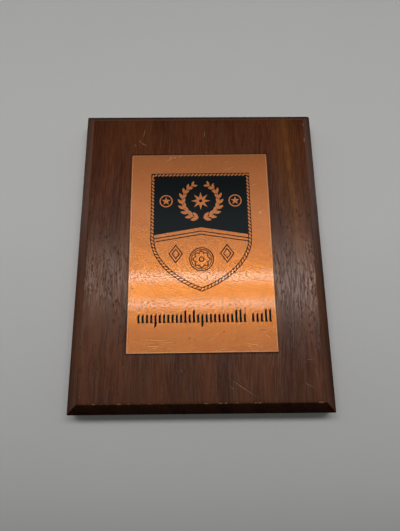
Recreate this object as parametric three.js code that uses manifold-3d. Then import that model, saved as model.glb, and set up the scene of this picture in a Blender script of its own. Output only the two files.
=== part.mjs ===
// Commemorative wall plaque: a bevelled hardwood board with a thin copper plate glued to its front.
// Millimetres. +X to the right, +Z up, the front faces -Y. The origin is the centre of the flat back.

import * as THREE from 'three';
import { mergeVertices } from 'three/addons/utils/BufferGeometryUtils.js';
import Module from 'manifold-3d';

// Board
const boardWidth = 190;
const boardHeight = 240;
const boardThickness = 20;
const boardCornerRadius = 0.7;
const wornCornerRadius = 1.8; // the top right corner is knocked rounder than the others
const bevelWidth = 7.7;
const bevelDepth = 6.4;
const frontArrisSoftening = 0.5;
const backChamfer = 0.8;

// Copper plate
const plateWidth = 109.2;
const plateHeight = 158.2;
const plateThickness = 0.8;
const plateTopCornerRadius = 0.9;
const plateBottomCornerRadius = 0.3;
const plateEdgeSoftening = 0.15;
const plateShiftRight = 0.5;
const plateShiftUp = 0.7;
const plateTiltDegrees = 0.29; // glued on slightly turned, anticlockwise from the front

// Keyhole slot routed into the back: a screw's head goes in at the hole, then up under the lip to its seat
const shankSlotWidth = 5;
const headSlotWidth = 9.2;
const headHoleClearance = 0.4;
const lipThickness = 3.4;
const headRoom = 5.4;
const slotTravel = 13; // from the centre of the hole up to the centre of the seat
const seatBelowTop = 34;

// Facets
const cornerSteps = 6;
const softeningSteps = 3;
const keyholeArcSteps = 32;
const cutOverrun = 1;

// A closed outline with its four corners rounded, starting at the top right and running anticlockwise.
// Every outline has the same number of points, so that any two of them can be joined by a strip.
function roundedOutline(halfWidth, halfHeight, radii) {
  const corners = [
    { x: 1, z: 1, radius: radii.topRight, start: 0 },
    { x: -1, z: 1, radius: radii.topLeft, start: Math.PI / 2 },
    { x: -1, z: -1, radius: radii.bottomLeft, start: Math.PI },
    { x: 1, z: -1, radius: radii.bottomRight, start: 1.5 * Math.PI },
  ];
  return corners.flatMap(({ x, z, radius, start }) =>
    Array.from({ length: cornerSteps + 1 }, (_, step) => {
      const angle = start + (step / cornerSteps) * (Math.PI / 2);
      return new THREE.Vector2(
        x * (halfWidth - radius) + radius * Math.cos(angle),
        z * (halfHeight - radius) + radius * Math.sin(angle),
      );
    }),
  );
}

// The radii of a board or plate outline moved inwards: a corner gets sharper, down to a small share of its radius.
function insetRadii(radii, inset) {
  const sharpest = 0.3;
  const shrink = (radius) => Math.max(radius - inset, sharpest * radius);
  return Object.fromEntries(Object.entries(radii).map(([corner, radius]) => [corner, shrink(radius)]));
}

// A quarter-like rounding between two straight stretches of a profile: start and end lie on the stretches,
// and the arris between them is left out.
function softenedArris(start, arris, end) {
  const curve = new THREE.QuadraticBezierCurve(start, arris, end);
  return curve.getPoints(softeningSteps);
}

// Joins stacked outlines into a closed solid. A profile point is (inset from the outline, y).
// The profile runs from the back to the front, and both ends are closed by flat faces.
function slab(halfWidth, halfHeight, radii, profile, place) {
  const rings = profile.map(({ x: inset, y }) =>
    roundedOutline(halfWidth - inset, halfHeight - inset, insetRadii(radii, inset)).map((point) => {
      const placed = place(point);
      return new THREE.Vector3(placed.x, y, placed.y);
    }),
  );
  const count = rings[0].length;
  const positions = rings.flat().flatMap((point) => point.toArray());
  const faces = [];
  for (let ring = 0; ring + 1 < rings.length; ring += 1) {
    for (let index = 0; index < count; index += 1) {
      const next = (index + 1) % count;
      const back = ring * count;
      const front = back + count;
      faces.push(back + index, back + next, front + next);
      faces.push(back + index, front + next, front + index);
    }
  }
  const lastRing = (rings.length - 1) * count;
  for (let index = 1; index + 1 < count; index += 1) {
    faces.push(0, index + 1, index);
    faces.push(lastRing, lastRing + index, lastRing + index + 1);
  }
  const geometry = new THREE.BufferGeometry();
  geometry.setAttribute('position', new THREE.Float32BufferAttribute(positions, 3));
  geometry.setIndex(faces);
  return geometry;
}

// The board before its keyhole is cut: a small chamfer round the back, square sides and the front's wide bevel.
function boardBlank() {
  const front = -boardThickness;
  const bevelStart = front + bevelDepth;
  const slope = Math.hypot(bevelWidth, bevelDepth);
  const alongBevel = new THREE.Vector2(bevelWidth / slope, -bevelDepth / slope);
  const lowerArris = new THREE.Vector2(0, bevelStart);
  const upperArris = new THREE.Vector2(bevelWidth, front);
  const towardsBack = new THREE.Vector2(0, frontArrisSoftening);
  const inwards = new THREE.Vector2(frontArrisSoftening, 0);
  const step = alongBevel.clone().multiplyScalar(frontArrisSoftening);
  const profile = [
    new THREE.Vector2(backChamfer, 0),
    new THREE.Vector2(0, -backChamfer),
    ...softenedArris(lowerArris.clone().add(towardsBack), lowerArris, lowerArris.clone().add(step)),
    ...softenedArris(upperArris.clone().sub(step), upperArris, upperArris.clone().add(inwards)),
  ];
  const radii = {
    topRight: wornCornerRadius,
    topLeft: boardCornerRadius,
    bottomLeft: boardCornerRadius,
    bottomRight: boardCornerRadius,
  };
  return slab(boardWidth / 2, boardHeight / 2, radii, profile, (point) => point);
}

const seatHeight = boardHeight / 2 - seatBelowTop;
const headHoleHeight = seatHeight - slotTravel;
const headHoleRadius = headSlotWidth / 2 + headHoleClearance;
const pocketDepth = lipThickness + headRoom;

function headHole() {
  const hole = new THREE.Shape();
  hole.absarc(0, headHoleHeight, headHoleRadius, 0, 2 * Math.PI, false);
  return hole;
}

// A slot from the middle of the hole up to its round end about the seat.
function slotOutline(width) {
  const slot = new THREE.Shape();
  slot.moveTo(-width / 2, headHoleHeight);
  slot.lineTo(width / 2, headHoleHeight);
  slot.absarc(0, seatHeight, width / 2, 0, Math.PI, false);
  slot.closePath();
  return slot;
}

// Extrudes an outline drawn in X and Z from one depth below the back face to another.
function cutter(shape, fromDepth, toDepth) {
  const geometry = new THREE.ExtrudeGeometry(shape, {
    depth: toDepth - fromDepth,
    bevelEnabled: false,
    curveSegments: keyholeArcSteps,
  });
  geometry.rotateX(Math.PI / 2);
  geometry.translate(0, -fromDepth, 0);
  return geometry;
}

const wasm = await Module();
wasm.setup();

function toSolid(geometry) {
  const bare = geometry.clone();
  bare.deleteAttribute('normal');
  bare.deleteAttribute('uv');
  const merged = mergeVertices(bare, 1e-5);
  return new wasm.Manifold(
    new wasm.Mesh({
      numProp: 3,
      vertProperties: new Float32Array(merged.attributes.position.array),
      triVerts: new Uint32Array(merged.index.array),
    }),
  );
}

function toGeometry(solid) {
  const mesh = solid.getMesh();
  const geometry = new THREE.BufferGeometry();
  geometry.setAttribute('position', new THREE.BufferAttribute(mesh.vertProperties, 3));
  geometry.setIndex(new THREE.BufferAttribute(mesh.triVerts, 1));
  geometry.computeVertexNormals();
  return geometry;
}

function keyhole() {
  const hole = toSolid(cutter(headHole(), -cutOverrun, pocketDepth));
  const shankSlot = toSolid(cutter(slotOutline(shankSlotWidth), -cutOverrun, pocketDepth));
  const headSlot = toSolid(cutter(slotOutline(headSlotWidth), lipThickness, pocketDepth));
  return hole.add(shankSlot).add(headSlot);
}

function boardGeometry() {
  return toGeometry(toSolid(boardBlank()).subtract(keyhole()));
}

// The thin sheet, drawn about its own centre, then tilted and moved to where it is glued.
function plateGeometry() {
  const back = -boardThickness;
  const front = back - plateThickness;
  const soft = plateEdgeSoftening;
  const arris = new THREE.Vector2(0, front);
  const profile = [
    new THREE.Vector2(0, back),
    ...softenedArris(new THREE.Vector2(0, front + soft), arris, new THREE.Vector2(soft, front)),
  ];
  const radii = {
    topRight: plateTopCornerRadius,
    topLeft: plateTopCornerRadius,
    bottomLeft: plateBottomCornerRadius,
    bottomRight: plateBottomCornerRadius,
  };
  const middle = new THREE.Vector2(plateShiftRight, plateShiftUp);
  const tilt = THREE.MathUtils.degToRad(plateTiltDegrees);
  const place = (point) => point.clone().rotateAround(new THREE.Vector2(), tilt).add(middle);
  const geometry = slab(plateWidth / 2, plateHeight / 2, radii, profile, place);
  geometry.computeVertexNormals();
  return geometry;
}

const stainedWood = new THREE.MeshStandardMaterial({ color: 0x4a2a1c, roughness: 0.45, metalness: 0 });
const copper = new THREE.MeshStandardMaterial({ color: 0xc87846, roughness: 0.25, metalness: 1 });

const board = new THREE.Mesh(boardGeometry(), stainedWood);
board.name = 'board';

const plate = new THREE.Mesh(plateGeometry(), copper);
plate.name = 'plate';

const plaque = new THREE.Group();
plaque.add(board, plate);

export default plaque;
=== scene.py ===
"""A commemorative wall plaque: a worn hardwood board with a thin printed copper plate glued to its front.

Sizes are in millimetres unless a comment says otherwise, and a mesh becomes metres when it becomes an object.
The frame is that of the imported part: +X to the right, +Z up, the front faces -Y, and the origin lies in the
middle of the flat back.
"""

import logging
import math
import random
from collections.abc import Callable, Iterable, Sequence
from dataclasses import asdict, dataclass
from enum import Enum, IntEnum

import bmesh
import bpy
from mathutils import Euler, Matrix, Vector, noise
from mathutils.geometry import delaunay_2d_cdt, interpolate_bezier


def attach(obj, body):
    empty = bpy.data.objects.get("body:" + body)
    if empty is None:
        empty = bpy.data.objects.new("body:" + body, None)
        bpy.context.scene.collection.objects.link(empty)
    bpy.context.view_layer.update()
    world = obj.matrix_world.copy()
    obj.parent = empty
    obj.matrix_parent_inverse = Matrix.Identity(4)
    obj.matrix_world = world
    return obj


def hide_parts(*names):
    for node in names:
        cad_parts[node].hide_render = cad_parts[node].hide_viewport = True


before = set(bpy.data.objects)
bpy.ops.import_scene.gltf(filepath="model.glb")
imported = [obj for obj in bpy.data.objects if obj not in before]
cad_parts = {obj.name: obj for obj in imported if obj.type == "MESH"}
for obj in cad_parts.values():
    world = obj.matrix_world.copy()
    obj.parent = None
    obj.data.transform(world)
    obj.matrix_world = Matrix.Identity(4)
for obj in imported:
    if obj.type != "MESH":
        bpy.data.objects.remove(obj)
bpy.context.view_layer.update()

MM = 0.001
SAME_POINT = 2e-6
GROOVE_MATCH = 1e-3

BOARD_THICKNESS = 20.0
PLATE_WIDTH = 109.2
PLATE_HEIGHT = 158.2
PLATE_THICKNESS = 0.8
PLATE_SHIFT = (0.5, 0.7)

Colour = tuple[float, float, float]

log = logging.getLogger("plaque")


def in_scene(name: str, data: bpy.types.ID) -> bpy.types.Object:
    """Makes an object of a mesh, a lamp or a camera, and puts it into the scene.

    Args:
        name: The object's name.
        data: What it shows.

    Returns:
        The object.
    """
    made = bpy.data.objects.new(name, data)
    bpy.context.scene.collection.objects.link(made)
    return made


# Node trees


@dataclass(frozen=True)
class Ease:
    """A smooth passage of a value: where it starts and ends, and what it gives there."""

    start: float
    end: float
    low: float = 0.0
    high: float = 1.0


@dataclass(frozen=True)
class Pattern:
    """The size and the fineness of a noise or cell pattern. A flat one has no depth and lies in one layer."""

    width: float
    length: float
    depth: float | None = None
    layer: float = 0.0
    detail: float = 2.0
    roughness: float = 0.5


@dataclass(frozen=True)
class Signal:
    """A value that flows through a node tree and can be calculated with."""

    table: "NodeTable"
    socket: bpy.types.NodeSocket

    def __add__(self, other: "Value") -> "Signal":
        """Returns the sum of the two."""
        return self.table.math("ADD", self, other)

    def __sub__(self, other: "Value") -> "Signal":
        """Returns the difference of the two."""
        return self.table.math("SUBTRACT", self, other)

    def __mul__(self, other: "Value") -> "Signal":
        """Returns the product of the two."""
        return self.table.math("MULTIPLY", self, other)

    def __truediv__(self, other: "Value") -> "Signal":
        """Returns this value divided by the other."""
        return self.table.math("DIVIDE", self, other)

    def __abs__(self) -> "Signal":
        """Returns the value without its sign."""
        return self.table.math("ABSOLUTE", self)

    def about(self, middle: "Value", reach: "Value") -> "Signal":
        """Returns a noise, which lies about 0.5, as one of this reach about another middle."""
        return (self - 0.5) * reach + middle

    def ease(self, passage: Ease) -> "Signal":
        """Maps the value smoothly.

        Args:
            passage: The passage that it follows.

        Returns:
            The mapped value.
        """
        inputs = {"Value": self, "From Min": passage.start, "From Max": passage.end}
        inputs.update({"To Min": passage.low, "To Max": passage.high})
        return self.table.value("ShaderNodeMapRange", inputs, interpolation_type="SMOOTHSTEP")


Value = float | int | tuple | bpy.types.Material | Signal


class NodeTable:
    """Adds nodes to a tree and links them in one step."""

    MIX_SHARE, MIX_FIRST, MIX_SECOND, MIX_RESULT = 0, 6, 7, 2

    def __init__(self, tree: bpy.types.NodeTree) -> None:
        """Works on an existing tree of shader or geometry nodes."""
        self.tree = tree

    def add(self, kind: str, inputs: dict[str | int, Value] | None = None, **settings: str) -> bpy.types.Node:
        """Adds one node.

        Args:
            kind: The node's type.
            inputs: Signals or plain values for the node's inputs, by name or by place.
            **settings: The node's own properties.

        Returns:
            The new node.
        """
        node = self.tree.nodes.new(kind)
        for name, setting in settings.items():
            setattr(node, name, setting)
        for key, value in (inputs or {}).items():
            if isinstance(value, Signal):
                self.tree.links.new(value.socket, node.inputs[key])
            else:
                node.inputs[key].default_value = value
        return node

    def value(
        self, kind: str, inputs: dict[str | int, Value] | None = None, output: str | int = 0, **settings: str
    ) -> Signal:
        """Adds one node and returns one of its outputs, by name or by place."""
        return Signal(self, self.add(kind, inputs, **settings).outputs[output])

    def math(self, operation: str, *values: Value) -> Signal:
        """Adds a Math node and returns its value."""
        return self.value("ShaderNodeMath", dict(enumerate(values)), operation=operation)

    def combine(self, x: Value, y: Value, z: Value) -> Signal:
        """Adds a Combine XYZ node and returns its vector."""
        return self.value("ShaderNodeCombineXYZ", {0: x, 1: y, 2: z})

    def split(self, vector: Signal) -> tuple[Signal, ...]:
        """Adds a Separate XYZ node and returns its three values."""
        return tuple(Signal(self, part) for part in self.add("ShaderNodeSeparateXYZ", {0: vector}).outputs)

    def _spread(self, pattern: Pattern, across: Value, along: Value, deep: Value | None) -> dict[str, Value]:
        """Returns the inputs of a texture node at a place that is stretched to a pattern's size."""
        layer = pattern.layer if pattern.depth is None else deep / pattern.depth
        return {"Vector": self.combine(across / pattern.width, layer, along / pattern.length), "Scale": 1.0}

    def noise(self, pattern: Pattern, across: Value, along: Value, deep: Value | None = None) -> Signal:
        """Adds the noise of a pattern, which lies about 0.5. A flat pattern needs no place in depth."""
        inputs = {"Detail": pattern.detail, "Roughness": pattern.roughness}
        return self.value("ShaderNodeTexNoise", {**self._spread(pattern, across, along, deep), **inputs})

    def cells(self, pattern: Pattern, across: Value, along: Value, deep: Value | None = None) -> Signal:
        """Adds the cells of a pattern and returns the distance from the middle of the nearest one."""
        return self.value("ShaderNodeTexVoronoi", self._spread(pattern, across, along, deep), "Distance")

    def mix(self, share: Value, first: Value, second: Value) -> Signal:
        """Adds a colour Mix node.

        Args:
            share: How much of the second colour shows.
            first: The first colour, as a signal or as red, green and blue.
            second: The second colour.

        Returns:
            The mixed colour.
        """
        inputs = {self.MIX_SHARE: share}
        for key, colour in ((self.MIX_FIRST, first), (self.MIX_SECOND, second)):
            inputs[key] = (*colour, 1.0) if isinstance(colour, tuple) else colour
        return self.value("ShaderNodeMix", inputs, self.MIX_RESULT, data_type="RGBA")

    def shade(self, colour: Value, *factors: Value) -> Signal:
        """Multiplies a colour by one value after another.

        Args:
            colour: The colour.
            *factors: The values.

        Returns:
            The shaded colour.
        """
        for factor in factors:
            colour = self.value("ShaderNodeVectorMath", {0: colour, "Scale": factor}, operation="SCALE")
        return colour

    def ramp(self, value: Value, stops: Sequence[tuple[float, Colour]]) -> Signal:
        """Adds a Color Ramp node.

        Args:
            value: The value that picks the colour, from 0 to 1.
            stops: The colours and their places, in rising order.

        Returns:
            The picked colour.
        """
        node = self.add("ShaderNodeValToRGB", {0: value})
        elements = node.color_ramp.elements
        while len(elements) < len(stops):
            elements.new(0.5)
        for element, (place, colour) in zip(elements, stops):
            element.position = place
            element.color = (*colour, 1.0)
        return Signal(self, node.outputs[0])


class MaterialTable(NodeTable):
    """The nodes of a new material, whose places are those on the piece itself, in millimetres."""

    def __init__(self, name: str) -> None:
        """Makes an empty node material.

        Args:
            name: The material's name.
        """
        self.material = bpy.data.materials.new(name)
        self.material.use_nodes = True
        self.material.node_tree.nodes.clear()
        super().__init__(self.material.node_tree)

    def place(self) -> tuple[Signal, ...]:
        """Adds the object's own coordinates and returns X, Y and Z."""
        coordinates = self.value("ShaderNodeTexCoord", output="Object")
        return self.split(self.value("ShaderNodeMapping", {"Vector": coordinates, "Scale": (1 / MM,) * 3}))

    def facing(self) -> tuple[Signal, ...]:
        """Returns X, Y and Z of the direction that a face points in."""
        return self.split(self.value("ShaderNodeTexCoord", output="Normal"))

    def bump(self, height: Signal, depth: float, **inputs: Value) -> Signal:
        """Adds a Bump node, whose height of 1 stands for the depth, and returns the bent normal."""
        return self.value("ShaderNodeBump", {"Height": height, "Distance": depth * MM, **inputs})

    def surface(self, inputs: dict[str, Value]) -> bpy.types.Material:
        """Ends the material with a Principled shader.

        Args:
            inputs: The shader's inputs by name.

        Returns:
            The material.
        """
        shader = self.value("ShaderNodeBsdfPrincipled", inputs)
        self.add("ShaderNodeOutputMaterial", {"Surface": shader})
        return self.material


# Finishes


@dataclass(frozen=True)
class WoodPlace:
    """A place in the wood: its coordinates, its distance from the pith, and the way that its face points."""

    table: MaterialTable
    x: Signal
    y: Signal
    z: Signal
    ring: Signal
    facing: tuple[Signal, ...]


@dataclass(frozen=True)
class StainedWood:
    """Dark red-brown hardwood with an upright grain under a thin satin varnish.

    The grain runs through the solid: its rings are counted from a pith that lies far off behind the left
    edge, so that the front, the sides and the end grain belong to one plank.
    """

    name: str = "stained_wood"
    dark: Colour = (0.070, 0.0155, 0.0044)
    light: Colour = (0.146, 0.0375, 0.0098)
    olive: Colour = (0.118, 0.0400, 0.0108)
    amber: Colour = (0.235, 0.0770, 0.0140)
    # the rubbed colour of real wear, which also paints light on the bevel's brow and on its lower mitres
    rubbed: Colour = (0.170, 0.0820, 0.0480)
    # painted reflection: a grey mixed into the wood towards the foot, standing in for light that the varnish
    # mirrors there
    haze: Colour = (0.110, 0.0780, 0.0620)
    splintered: Colour = (0.360, 0.200, 0.115)

    pith: tuple[float, float, float] = (-250.0, 120.0, 0.0)
    wander: Pattern = Pattern(28.0, 85.0, detail=3.0)
    wander_reach: float = 9.0
    bands: Pattern = Pattern(14.0, 95.0, layer=3.1)
    streaks: Pattern = Pattern(2.7, 70.0, depth=10.8)
    fibres: Pattern = Pattern(0.75, 13.0, depth=3.0, detail=1.0)
    weights: tuple[float, float, float] = (0.58, 0.28, 0.14)
    contrast: Ease = Ease(0.38, 0.62)
    calm_at_top: Ease = Ease(20.0, 105.0, 1.05, 0.62)
    olive_bands: Pattern = Pattern(7.0, 150.0, layer=41.0)
    olive_share: Ease = Ease(0.45, 0.70, 0.0, 0.40)
    hairs: Pattern = Pattern(0.85, 42.0, depth=3.4, detail=0.0)
    hair_edge: Ease = Ease(0.60, 0.74)
    hair_share: Ease = Ease(70.0, -10.0, 0.05, 0.34)
    pores: Pattern = Pattern(1.3, 5.0, depth=1.3)
    pore_edge: Ease = Ease(0.16, 0.40, 1.0, 0.0)
    pore_patches: Pattern = Pattern(7.0, 40.0, layer=9.0)
    pore_patch_edge: Ease = Ease(0.40, 0.58)
    pore_shade: Ease = Ease(25.0, 105.0, -0.6, -0.25)

    amber_x: float = 75.9
    amber_lean: float = 0.045
    amber_wobble: Pattern = Pattern(1.0, 17.0, layer=2.0, detail=1.0)
    amber_wobble_column: float = 7.0
    amber_wobble_reach: float = 3.0
    amber_line: Ease = Ease(0.3, 3.0, 1.0, 0.0)
    amber_glow: Ease = Ease(1.0, 13.0, 0.27, 0.0)
    amber_patches: Pattern = Pattern(1.0, 11.0, layer=5.0, detail=1.0)
    amber_strength: Ease = Ease(0.35, 0.65, 0.16, 0.64)
    amber_length: Ease = Ease(-32.0, 12.0)

    # painted light: the wood is a little lighter towards the foot and darker towards the top
    shade_by_height: Ease = Ease(-95.0, 100.0, 1.05, 0.95)
    shade_at_ends: Ease = Ease(92.0, 113.0, 1.0, 0.86)
    # painted reflection: how much grey is mixed in, none high up and most at the foot
    haze_share: Ease = Ease(50.0, -60.0, 0.0, 0.17)
    end_grain: Ease = Ease(0.35, 0.62, 1.0, 0.42)
    # painted shade: faces that look down are darkened, as the light comes from above
    lower_edge: Ease = Ease(-0.62, -0.35, 0.66, 1.0)
    bevel_start: Ease = Ease(0.40, 0.55)
    bevel_end: Ease = Ease(0.88, 0.97, 1.0, 0.0)
    # painted shade and light across the bevel: darker at its foot, lighter towards the front
    bevel_shade: Ease = Ease(-13.8, -19.9, -0.28, 0.14)
    # painted light on the bevel's brow, in the rubbed colour: where across the bevel it shows, and kept off
    # faces that look down
    brow: Ease = Ease(-14.5, -19.5)
    brow_rub: Ease = Ease(-0.62, -0.35, 0.0, 0.46)

    plate_width: float = PLATE_WIDTH
    plate_height: float = PLATE_HEIGHT
    plate_shift: tuple[float, float] = PLATE_SHIFT
    # old polish and a painted contact shadow in a dark line round the plate
    polish_line: Ease = Ease(0.4, 1.5, 1.0, 0.0)
    polish_front: Ease = Ease(-18.0, -19.0)
    polish_shade: float = -0.55

    wear_spots: Pattern = Pattern(1.6, 1.9, depth=1.6)
    # wear and the painted mitre highlight, with spots
    worn_share: Ease = Ease(0.95, 1.55, 0.0, 0.85)
    open_spots: float = 0.3
    open_share: Ease = Ease(0.86, 1.0, 0.0, 0.9)

    roughness: float = 0.18
    fibre_edge: Ease = Ease(0.43, 0.57)
    fibre_roughness: float = 0.15
    pore_roughness: float = 0.38
    worn_roughness: float = 0.15
    back_dulling: Ease = Ease(-1.0, 0.0, 0.0, 0.2)
    specular: float = 0.10
    relief_depth: float = 0.018
    streak_relief: float = 0.22
    fibre_relief: float = 0.75
    pore_relief: float = 0.65

    def build(self) -> bpy.types.Material:
        """Makes the material.

        Returns:
            The material.
        """
        table = MaterialTable(self.name)
        at = self._place(table)
        streak = table.noise(self.streaks, at.ring, at.z, at.y)
        fibre = table.noise(self.fibres, at.ring, at.z, at.y)
        pore = self._pore(at)
        # the wear attribute, which also carries the painted highlight on the lower mitres
        wear = table.value("ShaderNodeAttribute", output="Fac", attribute_name="wear")
        spots = table.noise(self.wear_spots, at.x, at.z, at.y)
        # real wear, with the painted highlight on the lower mitres and the painted light on the bevel's brow
        wear_and_painted_light = table.math("MAXIMUM", (wear + spots).ease(self.worn_share), self._brow(at))
        laid_open = (spots * self.open_spots + wear).ease(self.open_share)
        colour = self._shaded(at, self._grown(at, streak, fibre, pore))
        colour = table.mix(wear_and_painted_light, colour, self.rubbed)
        colour = table.mix(laid_open, colour, self.splintered)
        rough = fibre.ease(self.fibre_edge) * self.fibre_roughness + self.roughness
        rough = rough + pore * self.pore_roughness + wear_and_painted_light * self.worn_roughness
        relief = streak * self.streak_relief + fibre * self.fibre_relief - pore * self.pore_relief
        return table.surface(
            {
                "Base Color": colour,
                "Roughness": rough + at.y.ease(self.back_dulling),
                "Specular IOR Level": self.specular,
                "Normal": table.bump(relief, self.relief_depth),
            }
        )

    def _place(self, table: MaterialTable) -> WoodPlace:
        """Finds the place in the wood, whose distance from the pith wanders a little along the board.

        Args:
            table: The material's nodes.

        Returns:
            The place.
        """
        x, y, z = table.place()
        ends = {0: table.combine(x, y, 0.0), 1: self.pith}
        distance = table.value("ShaderNodeVectorMath", ends, "Value", operation="DISTANCE")
        ring = table.noise(self.wander, distance, z).about(distance, self.wander_reach)
        return WoodPlace(table, x, y, z, ring, table.facing())

    def _grown(self, at: WoodPlace, streak: Signal, fibre: Signal, pore: Signal) -> Signal:
        """Colours the wood as it has grown and been stained.

        Args:
            at: The place.
            streak: The middle size of the grain.
            fibre: The fine size of the grain.
            pore: Where the pores are.

        Returns:
            The colour.
        """
        table = at.table
        sizes = (table.noise(self.bands, at.ring, at.z), streak, fibre)
        band, streak, fibre = (size * weight for size, weight in zip(sizes, self.weights))
        tone = (band + streak + fibre).ease(self.contrast).about(0.5, at.z.ease(self.calm_at_top))
        colour = table.mix(tone, self.dark, self.light)
        olive = table.noise(self.olive_bands, at.ring, at.z).ease(self.olive_share)
        colour = table.mix(olive, colour, self.olive)
        colour = table.mix(self._amber(at), colour, self.amber)
        colour = table.shade(colour, pore * at.z.ease(self.pore_shade) + 1.0)
        hair = table.noise(self.hairs, at.ring, at.z, at.y).ease(self.hair_edge)
        return table.mix(hair * at.z.ease(self.hair_share), colour, self.rubbed)

    def _pore(self, at: WoodPlace) -> Signal:
        """Returns 1 in an open pore, a dash on the long faces and a dot on the end grain, and 0 outside."""
        dash = at.table.cells(self.pores, at.x, at.z, at.y).ease(self.pore_edge)
        return dash * at.table.noise(self.pore_patches, at.ring, at.z).ease(self.pore_patch_edge)

    def _amber(self, at: WoodPlace) -> Signal:
        """Adds the lighter amber streak down the right side, which fades out below the middle.

        Args:
            at: The place.

        Returns:
            How much of the amber colour shows.
        """
        middle = at.z * -self.amber_lean + self.amber_x
        wobble = at.table.noise(self.amber_wobble, self.amber_wobble_column, at.z)
        away = abs(at.x - wobble.about(middle, self.amber_wobble_reach))
        strength = at.table.noise(self.amber_patches, 0.0, at.z).ease(self.amber_strength)
        line = away.ease(self.amber_line) * strength + away.ease(self.amber_glow)
        return line * at.z.ease(self.amber_length)

    def _shaded(self, at: WoodPlace, colour: Signal) -> Signal:
        """Darkens the ends and the end grain, and paints light and shade: lighter lower down, darker on faces
        that look down, darker at the bevel's foot and lighter at its brow, and a dark line of old polish and
        shadow round the plate.

        Args:
            at: The place.
            colour: The colour of the wood.

        Returns:
            The colour, greyer towards the foot from a painted reflection.
        """
        upright = at.facing[2]
        # painted light by height, and darker ends
        colour = at.table.shade(colour, at.z.ease(self.shade_by_height), abs(at.z).ease(self.shade_at_ends))
        # painted reflection: the wood is mixed towards a grey lower down
        colour = at.table.mix(at.z.ease(self.haze_share), colour, self.haze)
        # painted shade and light across the bevel
        bevel = self._on_bevel(at) * at.y.ease(self.bevel_shade) + 1.0
        ends = abs(upright).ease(self.end_grain)
        return at.table.shade(colour, ends, upright.ease(self.lower_edge), bevel, self._polish(at))

    def _on_bevel(self, at: WoodPlace) -> Signal:
        """Returns 1 on the bevel and 0 on the front, the sides and the back."""
        ahead = abs(at.facing[1])
        return ahead.ease(self.bevel_start) * ahead.ease(self.bevel_end)

    def _brow(self, at: WoodPlace) -> Signal:
        """Returns the painted light on the bevel's brow, drawn in the rubbed colour: most at the front, and
        none where it looks down.
        """
        return self._on_bevel(at) * at.y.ease(self.brow) * at.facing[2].ease(self.brow_rub)

    def _polish(self, at: WoodPlace) -> Signal:
        """Darkens a line round the plate: old polish that has gathered there, and a painted contact shadow.

        Args:
            at: The place.

        Returns:
            The factor that darkens the wood.
        """
        beside = abs(at.x - self.plate_shift[0]) - self.plate_width / 2
        above = abs(at.z - self.plate_shift[1]) - self.plate_height / 2
        line = at.table.math("MAXIMUM", beside, above).ease(self.polish_line)
        return line * at.y.ease(self.polish_front) * self.polish_shade + 1.0


@dataclass(frozen=True)
class BareWood:
    """Wood without stain or varnish: the walls of the keyhole, or the fibres that a scratch has laid open."""

    name: str
    dark: Colour
    light: Colour
    roughness: float
    fibres: Pattern = Pattern(0.7, 6.0, depth=0.7, detail=3.0)
    fibre_edge: Ease = Ease(0.35, 0.65)
    fibre_roughness: float = 0.15
    fibre_depth: float = 0.08
    specular: float = 0.3

    def build(self) -> bpy.types.Material:
        """Makes the material.

        Returns:
            The material.
        """
        table = MaterialTable(self.name)
        x, y, z = table.place()
        fibre = table.noise(self.fibres, x, z, y)
        return table.surface(
            {
                "Base Color": table.mix(fibre.ease(self.fibre_edge), self.dark, self.light),
                "Roughness": fibre.about(self.roughness, self.fibre_roughness),
                "Specular IOR Level": self.specular,
                "Normal": table.bump(fibre, self.fibre_depth),
            }
        )


SCRATCHED_WOOD = BareWood("scratched_wood", (0.150, 0.084, 0.050), (0.270, 0.170, 0.110), 0.6)
ROUTED_WOOD = BareWood("routed_wood", (0.150, 0.068, 0.034), (0.245, 0.125, 0.066), 0.75)


@dataclass(frozen=True)
class Lacquer:
    """The clear coat over the whole plate: slightly rippled, with short level dents and a few sunk specks."""

    weight: float = 1.0
    ior: float = 1.6
    roughness: float = 0.045
    ripples: Pattern = Pattern(1.2, 0.75, roughness=0.55)
    ripple_depth: float = 0.0085
    waves: Pattern = Pattern(16.0, 9.0, layer=4.0)
    wave_share: float = 0.9
    dent_pattern: Pattern = Pattern(2.1, 0.9, layer=8.0, detail=1.5)
    dent_edge: Ease = Ease(0.54, 0.66)
    dent_depth: float = 0.026
    dents_below: Ease = Ease(38.0, 4.0, 0.08, 1.0)
    level_z: float = -33.0
    level_share: Ease = Ease(4.5, 9.0, 0.15, 1.0)
    specks: Pattern = Pattern(7.0, 7.0)
    speck_edge: Ease = Ease(0.03, 0.07)
    speck_depth: float = 0.05
    speck_strength: float = 0.4

    def dents(self, table: MaterialTable) -> Signal:
        """Adds the short level dents, which lie in the lower part of the lacquer.

        Args:
            table: The material's nodes.

        Returns:
            1 in a dent and 0 elsewhere.
        """
        x, _, z = table.place()
        dent = table.noise(self.dent_pattern, x, z).ease(self.dent_edge)
        return dent * abs(z - self.level_z).ease(self.level_share) * z.ease(self.dents_below)

    def coat(self, table: MaterialTable) -> dict[str, Value]:
        """Lays the lacquer over a finish.

        Args:
            table: The material's nodes.

        Returns:
            The shader's inputs for the coat and for the rippled surface.
        """
        x, _, z = table.place()
        height = table.noise(self.waves, x, z) * self.wave_share + table.noise(self.ripples, x, z)
        height = self.dents(table) * (self.dent_depth / self.ripple_depth) + height
        rippled = table.bump(height, self.ripple_depth)
        speck = table.cells(self.specks, x, z).ease(self.speck_edge)
        normal = table.bump(speck, self.speck_depth, Strength=self.speck_strength, Normal=rippled)
        sizes = {"Coat Weight": self.weight, "Coat Roughness": self.roughness, "Coat IOR": self.ior}
        return {"Normal": normal, "Coat Normal": normal, **sizes}


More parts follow.
